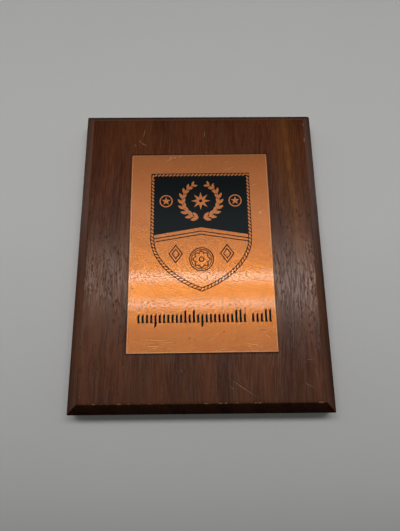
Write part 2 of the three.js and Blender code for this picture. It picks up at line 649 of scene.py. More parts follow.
@dataclass(frozen=True)
class LacqueredCopper:
    """Bright copper sheet, faintly brushed and clouded, under clear lacquer."""

    name: str = "lacquered_copper"
    bright: Colour = (0.93, 0.270, 0.040)
    clouded: Colour = (0.85, 0.232, 0.030)
    roughness: float = 0.215
    lacquer: Lacquer = Lacquer(ior=1.75)
    clouds: Pattern = Pattern(22.0, 14.0, layer=1.0, detail=3.0)
    mottles: Pattern = Pattern(3.4, 1.5, layer=2.0, detail=3.0)
    clouded_share: Ease = Ease(0.38, 0.64)
    cloud_roughness: float = 0.05
    mottle_roughness: float = 0.04
    # painted shade: the copper is darkened in the lacquer's dents
    dent_shade: float = -0.2

    def build(self) -> bpy.types.Material:
        """Makes the material.

        Returns:
            The material.
        """
        table = MaterialTable(self.name)
        x, _, z = table.place()
        cloud, mottle = table.noise(self.clouds, x, z), table.noise(self.mottles, x, z)
        share = (mottle * 0.5 + cloud * 0.5).ease(self.clouded_share)
        colour = table.mix(share, self.bright, self.clouded)
        rough = mottle.about(cloud.about(self.roughness, self.cloud_roughness), self.mottle_roughness)
        return table.surface(
            {
                # painted shade in the lacquer's dents
                "Base Color": table.shade(colour, self.lacquer.dents(table) * self.dent_shade + 1.0),
                "Metallic": 1.0,
                "Roughness": rough,
                **self.lacquer.coat(table),
            }
        )


SCUFFED_COPPER = LacqueredCopper("scuffed_copper", (0.98, 0.46, 0.19), (0.97, 0.40, 0.15), 0.36)
TARNISHED_COPPER = LacqueredCopper("tarnished_copper", (0.42, 0.13, 0.030), (0.34, 0.10, 0.024), 0.3)


@dataclass(frozen=True)
class BlackEnamel:
    """The printed black of the artwork, under the same lacquer as the copper round it."""

    name: str = "black_enamel"
    thin: Colour = (0.0012, 0.0044, 0.0062)
    full: Colour = (0.0006, 0.0022, 0.0034)
    # painted reflection: a bluish grey that the black turns towards lower down, where its lacquer would
    # mirror brighter surroundings
    hazy: Colour = (0.0115, 0.0165, 0.0190)
    cover: Pattern = Pattern(2.1, 2.1, layer=6.0, detail=3.0)
    cover_edge: Ease = Ease(0.3, 0.6)
    cover_roughness: float = 0.1
    haze: Ease = Ease(62.0, 14.0)
    haze_power: float = 1.6
    haze_foot: Ease = Ease(3.0, 8.0)
    roughness: float = 0.35
    specular: float = 0.06
    lacquer: Lacquer = Lacquer(weight=0.21, ripple_depth=0.006, dent_depth=0.008)

    def build(self) -> bpy.types.Material:
        """Makes the material.

        Returns:
            The material.
        """
        table = MaterialTable(self.name)
        x, _, z = table.place()
        cover = table.noise(self.cover, x, z)
        black = table.mix(cover.ease(self.cover_edge), self.thin, self.full)
        # painted reflection: the black is greyer lower down in the field, and none at all below the field
        haze = table.math("POWER", z.ease(self.haze), self.haze_power) * z.ease(self.haze_foot)
        return table.surface(
            {
                "Base Color": table.mix(haze, black, self.hazy),
                "Roughness": cover.about(self.roughness, self.cover_roughness),
                "Specular IOR Level": self.specular,
                **self.lacquer.coat(table),
            }
        )


# Outlines and flat faces


class BoardLook(IntEnum):
    """The material slots of the board."""

    STAINED = 0
    SCRATCHED = 1
    ROUTED = 2


class PlateLook(IntEnum):
    """The material slots of the plate."""

    COPPER = 0
    INK = 1
    SCUFFED = 2
    TARNISHED = 3


@dataclass(frozen=True)
class Shape:
    """A flat outline and the material slot that it is filled with. No look at all leaves the place open."""

    points: Sequence[Vector]
    look: int | None


@dataclass(frozen=True)
class FlatCells:
    """Triangles of a flat face that meet edge to edge."""

    points: list[Vector]
    cells: list[tuple[int, ...]]
    looks: list[int]


def anticlockwise(points: Sequence[Vector]) -> list[Vector]:
    """Sorts an outline.

    Args:
        points: Its points, in either order.

    Returns:
        Its points in anticlockwise order.
    """
    pairs = zip(points, [*points[1:], points[0]])
    area = sum(a.x * b.y - b.x * a.y for a, b in pairs)
    return list(points) if area > 0 else list(reversed(points))


def lay_out(shapes: Sequence[Shape], loose: Iterable[Vector] = ()) -> FlatCells:
    """Cuts overlapping shapes into triangles that share their edges.

    Args:
        shapes: The shapes, from the lowest to the topmost. A later one covers an earlier one.
        loose: Extra points inside, which keep the triangles well shaped.

    Returns:
        The triangles, each with the look of the topmost shape over it.
    """
    points: list[Vector] = []
    rings: list[list[int]] = []
    for shape in shapes:
        first = len(points)
        points.extend(Vector(p) for p in anticlockwise(shape.points))
        rings.append(list(range(first, len(points))))
    points.extend(loose)
    inside_only, closeness = 1, 1e-5
    made = delaunay_2d_cdt(points, [], rings, inside_only, closeness, True)
    cells, looks = [], []
    for cell, sources in zip(made[2], made[5]):
        look = shapes[max(sources)].look if sources else None
        if look is not None:
            cells.append(tuple(cell))
            looks.append(look)
    return FlatCells([Vector(p) for p in made[0]], cells, looks)


def arc(centre: Vector, radius: float, start: float, end: float, steps: int) -> list[Vector]:
    """Returns the points of a circular arc between two angles in degrees, the first and the last included."""
    angles = [math.radians(start + (end - start) * step / steps) for step in range(steps + 1)]
    return [centre + radius * Vector((math.cos(a), math.sin(a))) for a in angles]


def circle(centre: Vector, radius: float, steps: int = 40) -> list[Vector]:
    """Returns the points of a full circle, the first one not repeated."""
    return arc(centre, radius, 0.0, 360.0, steps)[:-1]


def moved_inwards(points: Sequence[Vector], inset: float) -> list[Vector]:
    """Moves a closed outline inwards, with sharp corners.

    Args:
        points: The outline, anticlockwise.
        inset: How far it moves. A negative value moves it outwards.

    Returns:
        The new outline, point for point.
    """
    moved = []
    for index, point in enumerate(points):
        before = (point - points[index - 1]).normalized()
        after = (points[(index + 1) % len(points)] - point).normalized()
        first = Vector((-before.y, before.x))
        second = Vector((-after.y, after.x))
        moved.append(point + (first + second) * (inset / (1.0 + first.dot(second))))
    return moved


def lens(
    start: Vector, end: Vector, width: float, bow: float = 0.0, steps: int = 6
) -> tuple[list[Vector], list[Vector]]:
    """Draws the two sides of a thin pointed mark.

    Args:
        start: Where the mark begins.
        end: Where it ends.
        width: How wide it is in the middle.
        bow: How far its middle stands off the straight line.
        steps: How many steps each side has.

    Returns:
        The left side and the right side, each from start to end, with the two ends in common.
    """
    along = end - start
    aside = Vector((-along.y, along.x)).normalized()
    left, right = [], []
    for step in range(steps + 1):
        share = step / steps
        swell = math.sin(math.pi * share)
        middle = start + along * share + aside * (bow * swell)
        left.append(middle + aside * (width / 2 * swell))
        right.append(middle - aside * (width / 2 * swell))
    return left, right


def sliver(start: Vector, end: Vector, width: float, bow: float = 0.0, steps: int = 6) -> list[Vector]:
    """Returns the closed outline of a thin pointed mark."""
    left, right = lens(start, end, width, bow, steps)
    return [*left, *reversed(right[1:-1])]


def grid(reach_x: float, reach_y: float, step: float) -> list[Vector]:
    """Returns points that are spread over a rectangle about the middle, about a step apart."""
    across, up = round(2 * reach_x / step), round(2 * reach_y / step)
    return [
        Vector((-reach_x + 2 * reach_x * i / across, -reach_y + 2 * reach_y * j / up))
        for i in range(across + 1)
        for j in range(up + 1)
    ]


@dataclass(frozen=True)
class RoundedRectangle:
    """An upright rectangle with rounded corners, as a ring whose number of points never changes.

    The radii go from the top right corner anticlockwise. The step is about how far apart the points lie.
    """

    width: float
    height: float
    radii: tuple[float, float, float, float]
    step: float
    corner_steps: int = 6
    sharpest: float = 0.3

    def _side_steps(self) -> tuple[int, ...]:
        """Returns the number of steps along each side, from the top side anticlockwise."""
        return (round(self.width / self.step), round(self.height / self.step)) * 2

    def ring(self, inset: float = 0.0) -> list[Vector]:
        """Lists the points of the outline moved inwards.

        Args:
            inset: How far the outline moves inwards.

        Returns:
            The ring's points, anticlockwise from the top right corner.
        """
        width, height = self.width / 2 - inset, self.height / 2 - inset
        corners = []
        ways = ((1, 1), (-1, 1), (-1, -1), (1, -1))
        for quarter, (radius, (side, end)) in enumerate(zip(self.radii, ways)):
            bent = max(radius - inset, self.sharpest * radius)
            centre = Vector((side * (width - bent), end * (height - bent)))
            corners.append(arc(centre, bent, 90 * quarter, 90 * quarter + 90, self.corner_steps))
        points = []
        for corner, following, steps in zip(corners, corners[1:] + corners[:1], self._side_steps()):
            points.extend(corner)
            points.extend(corner[-1].lerp(following[0], step / steps) for step in range(1, steps))
        return points

    def corner_shares(self) -> list[float]:
        """Marks the corners of a ring.

        Returns:
            For each point, 1 in the middle of a corner, less on its outer parts, and 0 along the sides.
        """
        turns = [math.pi * (step + 1) / (self.corner_steps + 2) for step in range(self.corner_steps + 1)]
        corner = [math.sin(turn) for turn in turns]
        return [share for steps in self._side_steps() for share in (*corner, *[0.0] * (steps - 1))]


# Solids


class Draft:
    """The faces of one closed solid, collected in millimetres."""

    def __init__(self, name: str) -> None:
        """Starts with nothing.

        Args:
            name: The name of the object to be.
        """
        self.name = name
        self.points: list[Vector] = []
        self.wear: list[float] = []
        self.faces: list[tuple[int, ...]] = []
        self.looks: list[int] = []
        self.smooth: list[bool] = []

    def add_ring(self, points: Sequence[Vector], wear: Sequence[float] | None = None) -> range:
        """Adds a ring of points.

        Args:
            points: The ring's points, in space.
            wear: How rubbed each point is, with the painted highlight on the lower mitres, or nothing for
                none.

        Returns:
            The places of the ring's points.
        """
        first = len(self.points)
        self.points.extend(points)
        self.wear.extend(wear or [0.0] * len(points))
        return range(first, len(self.points))

    def join(self, back: range, front: range, look: int, smooth: bool = True) -> None:
        """Joins two closed rings by a strip of faces.

        Args:
            back: The first ring.
            front: The second ring, point for point.
            look: The strip's material slot.
            smooth: Whether it is shaded smooth.
        """
        count = len(back)
        for index in range(count):
            following = (index + 1) % count
            self._face((back[index], back[following], front[following], front[index]), look, smooth)

    def add_flat(self, flat: FlatCells, place: Callable[[Vector], Vector]) -> None:
        """Adds a flat face.

        Args:
            flat: The face's triangles.
            place: Gives the place in space of a point of the face.
        """
        ring = self.add_ring([place(point) for point in flat.points])
        for cell, look in zip(flat.cells, flat.looks):
            self._face(tuple(ring[corner] for corner in cell), look, False)

    def _face(self, corners: tuple[int, ...], look: int, smooth: bool) -> None:
        """Notes one face.

        Args:
            corners: The places of its points.
            look: Its material slot.
            smooth: Whether it is shaded smooth.
        """
        self.faces.append(corners)
        self.looks.append(look)
        self.smooth.append(smooth)

    def build(self, materials: Sequence[bpy.types.Material]) -> bpy.types.Object:
        """Makes the object.

        Args:
            materials: The materials in the order of their slots.

        Returns:
            The object, a closed solid in metres at the origin, its faces pointing outwards.

        Raises:
            ValueError: If the faces don't close.
        """
        mesh = bpy.data.meshes.new(self.name)
        mesh.from_pydata([point * MM for point in self.points], [], self.faces)
        mesh.polygons.foreach_set("material_index", self.looks)
        mesh.polygons.foreach_set("use_smooth", self.smooth)
        mesh.attributes.new("wear", "FLOAT", "POINT").data.foreach_set("value", self.wear)
        for material in materials:
            mesh.materials.append(material)
        work = bmesh.new()
        work.from_mesh(mesh)
        bmesh.ops.remove_doubles(work, verts=work.verts, dist=SAME_POINT)
        bmesh.ops.dissolve_degenerate(work, edges=work.edges, dist=SAME_POINT / 4)
        bmesh.ops.recalc_face_normals(work, faces=work.faces)
        open_edges = sum(not edge.is_manifold for edge in work.edges)
        if work.calc_volume(signed=True) < 0:
            bmesh.ops.reverse_faces(work, faces=work.faces)
        work.to_mesh(mesh)
        work.free()
        if open_edges:
            raise ValueError(f"{self.name} has {open_edges} open edges")
        return in_scene(self.name, mesh)


# Geometry Nodes


class Growth:
    """A Geometry Nodes tree with named inputs that turns a carrier mesh into plain flat faces."""

    SOCKETS = {float: "NodeSocketFloat", int: "NodeSocketInt"}

    def __init__(self, name: str, sizes: dict[str, float | int]) -> None:
        """Makes the tree and its inputs.

        Args:
            name: The tree's name.
            sizes: The inputs' names and values. Only numbers become inputs.
        """
        self.name = name
        self.tree = bpy.data.node_groups.new(name, "GeometryNodeTree")
        self.table = NodeTable(self.tree)
        for way in ("INPUT", "OUTPUT"):
            self.tree.interface.new_socket("Geometry", in_out=way, socket_type="NodeSocketGeometry")
        self.settings = {}
        for label, size in sizes.items():
            if type(size) in self.SOCKETS:
                kind = self.SOCKETS[type(size)]
                socket = self.tree.interface.new_socket(label, in_out="INPUT", socket_type=kind)
                self.settings[socket.identifier] = size
        outputs = self.table.add("NodeGroupInput").outputs
        self.inputs = {socket.name: Signal(self.table, socket) for socket in outputs if socket.name}

    def polygon(self, corners: Value) -> Signal:
        """Adds a flat regular polygon of radius 1 and returns it."""
        inputs = {"Vertices": corners, "Radius": 1.0}
        return self.table.value("GeometryNodeMeshCircle", inputs, fill_type="NGON")

    def square(self) -> Signal:
        """Adds a flat square with sides of 1 and returns it."""
        inputs = {"Size X": 1.0, "Size Y": 1.0, "Vertices X": 2, "Vertices Y": 2}
        return self.table.value("GeometryNodeMeshGrid", inputs)

    def reshape(self, geometry: Signal, rule: Callable[[Signal, Signal], tuple[Value, Value]]) -> Signal:
        """Moves the points of a flat shape.

        Args:
            geometry: The shape.
            rule: Gives the new X and Y for the old ones.

        Returns:
            The moved shape.
        """
        x, y, _ = self.table.split(self.table.value("GeometryNodeInputPosition"))
        moved = self.table.combine(*rule(x, y), 0.0)
        return self.table.value("GeometryNodeSetPosition", {"Geometry": geometry, "Position": moved})

    def path(self, mode: str, step: str) -> Signal:
        """Turns the carrier into a curve with even points.

        Args:
            mode: LENGTH or COUNT, by which the points are set out.
            step: The input that gives the length or the count.

        Returns:
            The curve.
        """
        curve = self.table.value("GeometryNodeMeshToCurve", {"Mesh": self.inputs["Geometry"]})
        inputs = {"Curve": curve, mode.title(): self.inputs[step]}
        return self.table.value("GeometryNodeResampleCurve", inputs, mode=mode)

    def heading(self, turn: Value = 0.0) -> Signal:
        """Makes the rotation that follows the path.

        Args:
            turn: A further turn, in radians.

        Returns:
            The rotation.
        """
        tangent = self.table.value("GeometryNodeInputTangent")
        settings = {"axis": "X", "pivot_axis": "Z"}
        aligned = self.table.value("FunctionNodeAlignRotationToVector", {"Vector": tangent}, **settings)
        turned = self.table.value("FunctionNodeEulerToRotation", {0: self.table.combine(0.0, 0.0, turn)})
        return self.table.value("FunctionNodeRotateRotation", {0: aligned, 1: turned}, rotation_space="LOCAL")

    def instances(self, points: Signal, shape: Signal, **inputs: Value) -> Signal:
        """Sets a shape on every point and returns the instances."""
        ends = {"Points": points, "Instance": shape}
        return self.table.value("GeometryNodeInstanceOnPoints", {**ends, **inputs})

    def together(self, *parts: Signal) -> Signal:
        """Joins several geometries.

        Args:
            *parts: The geometries.

        Returns:
            All of them as one.
        """
        join = self.table.add("GeometryNodeJoinGeometry")
        for part in parts:
            self.tree.links.new(part.socket, join.inputs[0])
        return Signal(self.table, join.outputs[0])

    def faces(
        self, grown: Signal, material: bpy.types.Material, carrier: Sequence[Vector], closed: bool = False
    ) -> list[list[Vector]]:
        """Ends the tree, runs it once on the carrier and takes everything down again.

        Args:
            grown: The instances that the tree has made.
            material: The material that the tree sets.
            carrier: The carrier's points.
            closed: Whether the carrier goes back to its first point.

        Returns:
            The corner points of each flat face.
        """
        real = self.table.value("GeometryNodeRealizeInstances", {"Geometry": grown})
        dressed = self.table.value("GeometryNodeSetMaterial", {"Geometry": real, "Material": material})
        self.table.add("NodeGroupOutput", {0: dressed})
        edges = [(index, index + 1) for index in range(len(carrier) - 1)]
        if closed:
            edges.append((len(carrier) - 1, 0))
        mesh = bpy.data.meshes.new(self.name)
        mesh.from_pydata([point.to_3d() for point in carrier], edges, [])
        holder = in_scene(self.name, mesh)
        modifier = holder.modifiers.new(self.name, "NODES")
        modifier.node_group = self.tree
        for identifier, size in self.settings.items():
            modifier[identifier] = size
        depsgraph = bpy.context.evaluated_depsgraph_get()
        made = bpy.data.meshes.new_from_object(holder.evaluated_get(depsgraph))
        holder.modifiers.remove(modifier)
        outlines = [[made.vertices[v].co.to_2d() for v in face.vertices] for face in made.polygons]
        bpy.data.objects.remove(holder)
        for used in (mesh, made):
            bpy.data.meshes.remove(used)
        log.info("%s: %d faces", self.name, len(outlines))
        return outlines


@dataclass(frozen=True)
class RopeStrands:
    """The light strands of a twisted rope, set side by side along a closed line."""

    pitch: float = 2.95
    length: float = 2.3
    width: float = 2.1
    lean: float = 0.85
    corners: int = 10

    def along(self, line: Sequence[Vector], material: bpy.types.Material) -> list[list[Vector]]:
        """Grows the strands.

        Args:
            line: The middle line of the rope.
            material: The strands' material.

        Returns:
            The outline of each strand.
        """
        growth = Growth("rope_strands", asdict(self))
        half_length, half_width = growth.inputs["length"] * 0.5, growth.inputs["width"] * 0.5
        lean = growth.inputs["lean"]
        ellipse = growth.polygon(growth.inputs["corners"])
        strand = growth.reshape(ellipse, lambda x, y: (y * lean + x * half_length, y * half_width))
        placed = growth.instances(growth.path("LENGTH", "pitch"), strand, Rotation=growth.heading())
        return growth.faces(placed, material, line, closed=True)


@dataclass(frozen=True)
class LeafRow:
    """Pointed leaves along a line, on one side or on both. The splay is in radians."""

    count: int
    length: float
    width: float
    splay: float
    taper: float = 1.0
    both_sides: bool = True
    corners: int = 14

    def along(
        self, line: Sequence[Vector], material: bpy.types.Material, closed: bool = False
    ) -> list[list[Vector]]:
        """Grows the leaves.

        Args:
            line: The line that they grow from.
            material: The leaves' material.
            closed: Whether the line goes back to its first point.

        Returns:
            The outline of each leaf.
        """
        growth = Growth("leaf_row", asdict(self))
        table, inputs = growth.table, growth.inputs
        half_length, half_width = inputs["length"] * 0.5, inputs["width"] * 0.5
        leaf = growth.reshape(
            growth.polygon(inputs["corners"]),
            lambda x, y: (x * half_length + half_length, y * abs(y) * half_width),
        )
        path = growth.path("COUNT", "count")
        factor = table.value("GeometryNodeSplineParameter", output="Factor")
        size = factor * (inputs["taper"] - 1.0) + 1.0
        scale = table.combine(size, size, size)
        turns = [inputs["splay"], inputs["splay"] * -1.0] if self.both_sides else [inputs["splay"]]
        rows = [growth.instances(path, leaf, Rotation=growth.heading(turn), Scale=scale) for turn in turns]
        return growth.faces(growth.together(*rows), material, line, closed)


@dataclass(frozen=True)
class NibStrokes:
    """Separate upright broad-nib strokes of uneven height, each on a small lozenge. They spell nothing."""

    pitch: float = 3.05
    height: float = 5.9
    width: float = 1.6
    slant: float = 0.16
    tall_share: float = 0.24
    deep_share: float = 0.10
    reach: float = 0.50
    lozenge: float = 0.9
    lozenge_squash: float = 0.8
    lozenge_lift: float = 0.35
    seed: int = 5

    def along(self, line: Sequence[Vector], material: bpy.types.Material) -> list[list[Vector]]:
        """Grows the strokes.

        Args:
            line: The line that they stand on.
            material: The strokes' material.

        Returns:
            The outline of each stroke and lozenge.
        """
        growth = Growth("nib_strokes", asdict(self))
        table, inputs = growth.table, growth.inputs
        width, height, lozenge = inputs["width"], inputs["height"], inputs["lozenge"]
        stroke = growth.reshape(growth.square(), lambda x, y: (x, y + 0.5 + x * inputs["slant"]))
        path = growth.path("LENGTH", "pitch")
        tall, deep = self._chance(growth, "tall_share", 0), self._chance(growth, "deep_share", 1)
        stretch = (tall + deep) * inputs["reach"] + 1.0
        scale = table.combine(width, height * stretch, 1.0)
        drop = table.combine(0.0, height * inputs["reach"] * deep * -1.0, 0.0)
        standing = table.value("GeometryNodeSetPosition", {"Geometry": path, "Offset": drop})
        lift, low_lozenge = inputs["lozenge_lift"], lozenge * inputs["lozenge_squash"]
        diamond = growth.reshape(
            growth.polygon(4), lambda x, y: (x * lozenge + width * lift, y * low_lozenge + lift)
        )
        rows = [growth.instances(standing, stroke, Scale=scale), growth.instances(path, diamond)]
        return growth.faces(growth.together(*rows), material, line)

    def _chance(self, growth: Growth, share: str, turn: int) -> Signal:
        """Draws yes or no for each point.

        Args:
            growth: The tree.
            share: The input that gives how many points say yes.
            turn: Added to the seed, so that draws differ.

        Returns:
            1 for yes and 0 for no.
        """
        inputs = {"Seed": growth.inputs["seed"] + float(turn)}
        drawn = growth.table.value("FunctionNodeRandomValue", inputs, 1, data_type="FLOAT")
        return growth.table.math("LESS_THAN", drawn, growth.inputs[share])


# Board


@dataclass(frozen=True)
class Keyhole:
    """The keyhole in the back: a round entry, and a narrow slot over a wider pocket for a screw's head."""

    hole: Vector = Vector((0.0, 73.0))
    seat: Vector = Vector((0.0, 86.0))
    hole_radius: float = 5.0
    slot_half_width: float = 2.5
    pocket_half_width: float = 4.6
    lip: float = 3.4
    depth: float = 8.8
    steps: int = 32

    def _entry(self, start: float, end: float) -> list[Vector]:
        """Returns points of the round entry between two angles in degrees."""
        steps = max(3, round(self.steps * (end - start) / 360.0))
        return arc(self.hole, self.hole_radius, start, end, steps)

    def _below(self) -> list[Vector]:
        """Returns the round entry from the pocket's left side, round the foot, to its right side."""
        pocket = self._leaving(self.pocket_half_width)
        return self._entry(180.0 - pocket, 360.0 + pocket)

    def _shoulders(self) -> tuple[list[Vector], list[Vector]]:
        """Returns the stretches of the round entry between the slot and the pocket, left and right."""
        slot, pocket = self._leaving(self.slot_half_width), self._leaving(self.pocket_half_width)
        return self._entry(180.0 - slot, 180.0 - pocket), self._entry(360.0 + pocket, 360.0 + slot)

    def _leaving(self, half_width: float) -> float:
        """Returns the angle at which a groove of this half width leaves the round entry, in degrees."""
        return math.degrees(math.acos(half_width / self.hole_radius))

    def _end(self, half_width: float, start: float = 0.0, end: float = 180.0) -> list[Vector]:
        """Returns the round upper end of a groove between two angles in degrees."""
        return arc(self.seat, half_width, start, end, self.steps // 2)

    def mouth(self) -> list[Vector]:
        """Returns the opening in the back face."""
        left, right = self._shoulders()
        return [*self._end(self.slot_half_width), *left, *self._below()[1:], *right[1:]]

    def pocket(self) -> list[Vector]:
        """Returns the outline of the wider pocket behind the lip."""
        return [*self._end(self.pocket_half_width), *self._below()]

    def lip_underside(self) -> list[Vector]:
        """Returns the outline of the lip that the screw's head bears on."""
        (left, right), outer = self._shoulders(), self._end(self.pocket_half_width)
        return [*outer, *reversed(left), *self._end(self.slot_half_width, 180.0, 0.0), *reversed(right)]


class Arris(Enum):
    """An arris of the board, with the direction into the wood: inwards across the front, and in depth."""

    NONE = (0.0, 0.0)
    BACK = (0.92, -0.38)
    FOOT = (0.905, 0.425)
    FRONT = (0.34, 0.94)


@dataclass(frozen=True)
class ProfilePoint:
    """One ring of the board's edge: its inset, its depth, and how much of an arris's wear it takes."""

    inset: float
    y: float
    arris: Arris = Arris.NONE
    share: float = 0.0


@dataclass(frozen=True)
class Nick:
    """A small loss of wood on an arris, at a place on the front."""

    x: float
    z: float
    half_length: float
    depth: float


@dataclass(frozen=True)
class Scratch:
    """A shallow groove in the front face."""

    start: tuple[float, float]
    end: tuple[float, float]
    width: float
    depth: float
    bow: float = 0.0


@dataclass
class Board:
    """The bevelled board: rings round its edge, a flat front with scratches, and a back with the keyhole."""

    width: float = 190.0
    height: float = 240.0
    thickness: float = BOARD_THICKNESS
    corner_radius: float = 0.7
    knocked_radius: float = 1.8
    bevel_width: float = 7.7
    bevel_depth: float = 6.4
    bevel_rings: tuple[float, ...] = (0.1, 0.37, 0.63, 0.9)
    softening: float = 0.5
    softening_steps: int = 3
    back_chamfer: float = 0.8
    foot_margin: float = 1.0
    margin: float = 1.2
    edge_step: float = 0.75
    grid_step: float = 7.5
    grid_margin: float = 6.0
    keyhole: Keyhole = Keyhole()
    keyhole_clearance: tuple[float, float, float] = (8.0, 9.0, 7.0)

    back_share: float = 0.6
    softened_shares: tuple[float, float] = (0.45, 0.55)
    rub_depth: float = 0.10
    rub_share: float = 0.25
    rub_offset: float = 7.0
    rub_waves: tuple[tuple[float, float], ...] = ((0.11, 0.5), (0.42, 0.45), (1.1, 0.3))
    nick_share: float = 0.5
    nick_spread: float = 1.6
    arris_wear: float = 0.34
    loss_wear: float = 3.9
    # painted highlight on the mitres of the bevel's lower half, carried in the wear attribute
    mitre_wear: float = 0.35
    nicks: tuple[Nick, ...] = (
        Nick(-75.0, -111.6, 1.3, 0.40), Nick(-69.7, -111.6, 0.9, 0.35), Nick(-64.8, -111.9, 1.0, 0.30),
        Nick(-57.5, -111.8, 1.6, 0.35), Nick(-50.6, -112.0, 1.1, 0.32), Nick(-44.1, -112.1, 0.9, 0.28),
        Nick(-36.0, -112.0, 1.4, 0.30), Nick(-27.3, -112.1, 1.0, 0.30), Nick(-19.5, -112.0, 0.8, 0.26),
        Nick(-4.9, -111.6, 0.9, 0.30), Nick(3.5, -112.0, 2.2, 0.32), Nick(13.1, -112.0, 1.5, 0.35),
        Nick(16.8, -111.8, 0.9, 0.45), Nick(24.0, -111.9, 2.2, 0.30), Nick(37.6, -112.0, 1.3, 0.35),
        Nick(40.5, -112.3, 1.1, 0.40), Nick(83.4, -112.2, 1.6, 0.55), Nick(86.6, 107.6, 1.2, 0.50),
        Nick(86.8, 93.4, 1.6, 0.55),
    )

    groove_floor: float = 0.45
    scratches: tuple[Scratch, ...] = (
        Scratch((18.4, -94.2), (40.6, -109.0), 1.15, 0.30, -0.5),
        Scratch((18.4, -99.5), (24.2, -104.4), 0.60, 0.12, -0.2),
        Scratch((-44.6, 104.0), (-46.1, 96.0), 0.95, 0.08, 0.1),
        Scratch((-49.8, 94.4), (-47.4, 90.8), 0.80, 0.08),
        Scratch((-47.8, 91.6), (-42.4, 88.0), 0.90, 0.08),
        Scratch((-53.4, 90.2), (-51.6, 88.2), 0.75, 0.08),
        Scratch((4.9, 102.0), (4.7, 95.6), 0.75, 0.08),
        Scratch((71.9, -10.5), (76.2, -13.8), 0.70, 0.12),
        Scratch((76.8, -10.7), (80.9, -19.6), 0.70, 0.12, 0.3),
        Scratch((75.8, -42.6), (80.6, -47.8), 0.80, 0.12),
        Scratch((75.0, -83.4), (81.0, -83.0), 0.70, 0.08),
        Scratch((71.6, -98.6), (79.0, -103.2), 0.75, 0.10, 0.4),
        Scratch((80.4, -88.6), (82.2, -95.4), 0.65, 0.10),
    )

    speck_seed: int = 11
    speck_tilt: float = 0.5
    speck_half_length: tuple[float, float] = (0.35, 0.6)
    speck_width: tuple[float, float] = (0.4, 0.6)
    speck_steps: int = 4
    specks: tuple[tuple[float, float], ...] = (
        (5.2, 82.4), (-24.6, 83.9), (-52.2, 89.0), (51.0, 109.6), (69.1, 14.2), (69.4, 4.7), (69.3, -5.5),
        (0.9, -94.8), (74.9, -85.1), (78.3, -101.5), (-55.2, -87.9), (-84.8, -107.4), (-14.0, -90.6),
    )

    def build(self, materials: Sequence[bpy.types.Material]) -> bpy.types.Object:
        """Makes the board.

        Args:
            materials: Stained wood, scratched wood and routed wood.

        Returns:
            The board as a closed solid.
        """
        outline = RoundedRectangle(
            self.width,
            self.height,
            (self.knocked_radius, self.corner_radius, self.corner_radius, self.corner_radius),
            self.edge_step,
        )
        draft = Draft("bevelled_board")
        profile = self._profile()
        rings = [self._edge_ring(draft, outline, point) for point in profile]
        for back, front in zip(rings, rings[1:]):
            draft.join(back, front, BoardLook.STAINED)
        self._close_front(draft, outline.ring(profile[-1].inset))
        self._close_back(draft, outline.ring(profile[0].inset))
        return draft.build(materials)

    def _profile(self) -> list[ProfilePoint]:
        """Lists the rings from the back face round the edge to the flat of the front.

        Returns:
            The rings.
        """
        front = -self.thickness
        foot = Vector((0.0, front + self.bevel_depth))
        brow = Vector((self.bevel_width, front))
        softened = (brow - foot).normalized() * self.softening
        points = [
            ProfilePoint(self.back_chamfer, 0.0),
            ProfilePoint(0.0, -self.back_chamfer, Arris.BACK, self.back_share),
            ProfilePoint(0.0, -2.0 * self.back_chamfer),
            ProfilePoint(0.0, foot.y / 2),
            ProfilePoint(0.0, foot.y + self.softening + self.foot_margin),
            *self._arris(foot + Vector((0.0, self.softening)), foot, foot + softened, Arris.FOOT),
        ]
        for share in self.bevel_rings:
            spot = (foot + softened).lerp(brow - softened, share)
            points.append(ProfilePoint(spot.x, spot.y))
        points.extend(self._arris(brow - softened, brow, brow + Vector((self.softening, 0.0)), Arris.FRONT))
        points.append(ProfilePoint(self.bevel_width + self.softening + self.margin, front))
        return points

    def _arris(self, start: Vector, corner: Vector, end: Vector, arris: Arris) -> list[ProfilePoint]:
        """Rounds one arris of the profile.

        Args:
            start: Where the rounding begins.
            corner: The sharp arris that it replaces.
            end: Where the rounding ends.
            arris: Which arris it is.

        Returns:
            The rings of the rounding, worn most in the middle.
        """
        points = []
        least, more = self.softened_shares
        for step in range(self.softening_steps + 1):
            share = step / self.softening_steps
            spot = start.lerp(corner, share).lerp(corner.lerp(end, share), share)
            points.append(ProfilePoint(spot.x, spot.y, arris, least + more * math.sin(math.pi * share)))
        return points

    def _edge_ring(self, draft: Draft, outline: RoundedRectangle, point: ProfilePoint) -> range:
        """Adds one ring of the edge, rubbed where it lies on an arris, with a painted highlight on the
        bevel's lower mitres.

        Args:
            draft: The solid.
            outline: The board's outline.
            point: The ring's place in the profile.

        Returns:
            The ring.
        """
        flat = outline.ring(point.inset)
        inwards = [(b - a).normalized() for a, b in zip(flat, outline.ring(point.inset + 1.0))]
        across, deep = point.arris.value
        on_slope = 0.0 < point.inset < self.bevel_width
        spots, wear = [], []
        for place, inward, corner in zip(flat, inwards, outline.corner_shares()):
            loss = self._loss(place, point) * point.share
            spot = place + inward * (across * loss)
            spots.append(Vector((spot.x, point.y + deep * loss, spot.y)))
            # painted highlight on the lower mitres
            mitre_highlight = self.mitre_wear * corner if on_slope and place.y < 0.0 else 0.0
            wear.append(min(1.0, point.share * self.arris_wear + self.loss_wear * loss + mitre_highlight))
        return draft.add_ring(spots, wear)

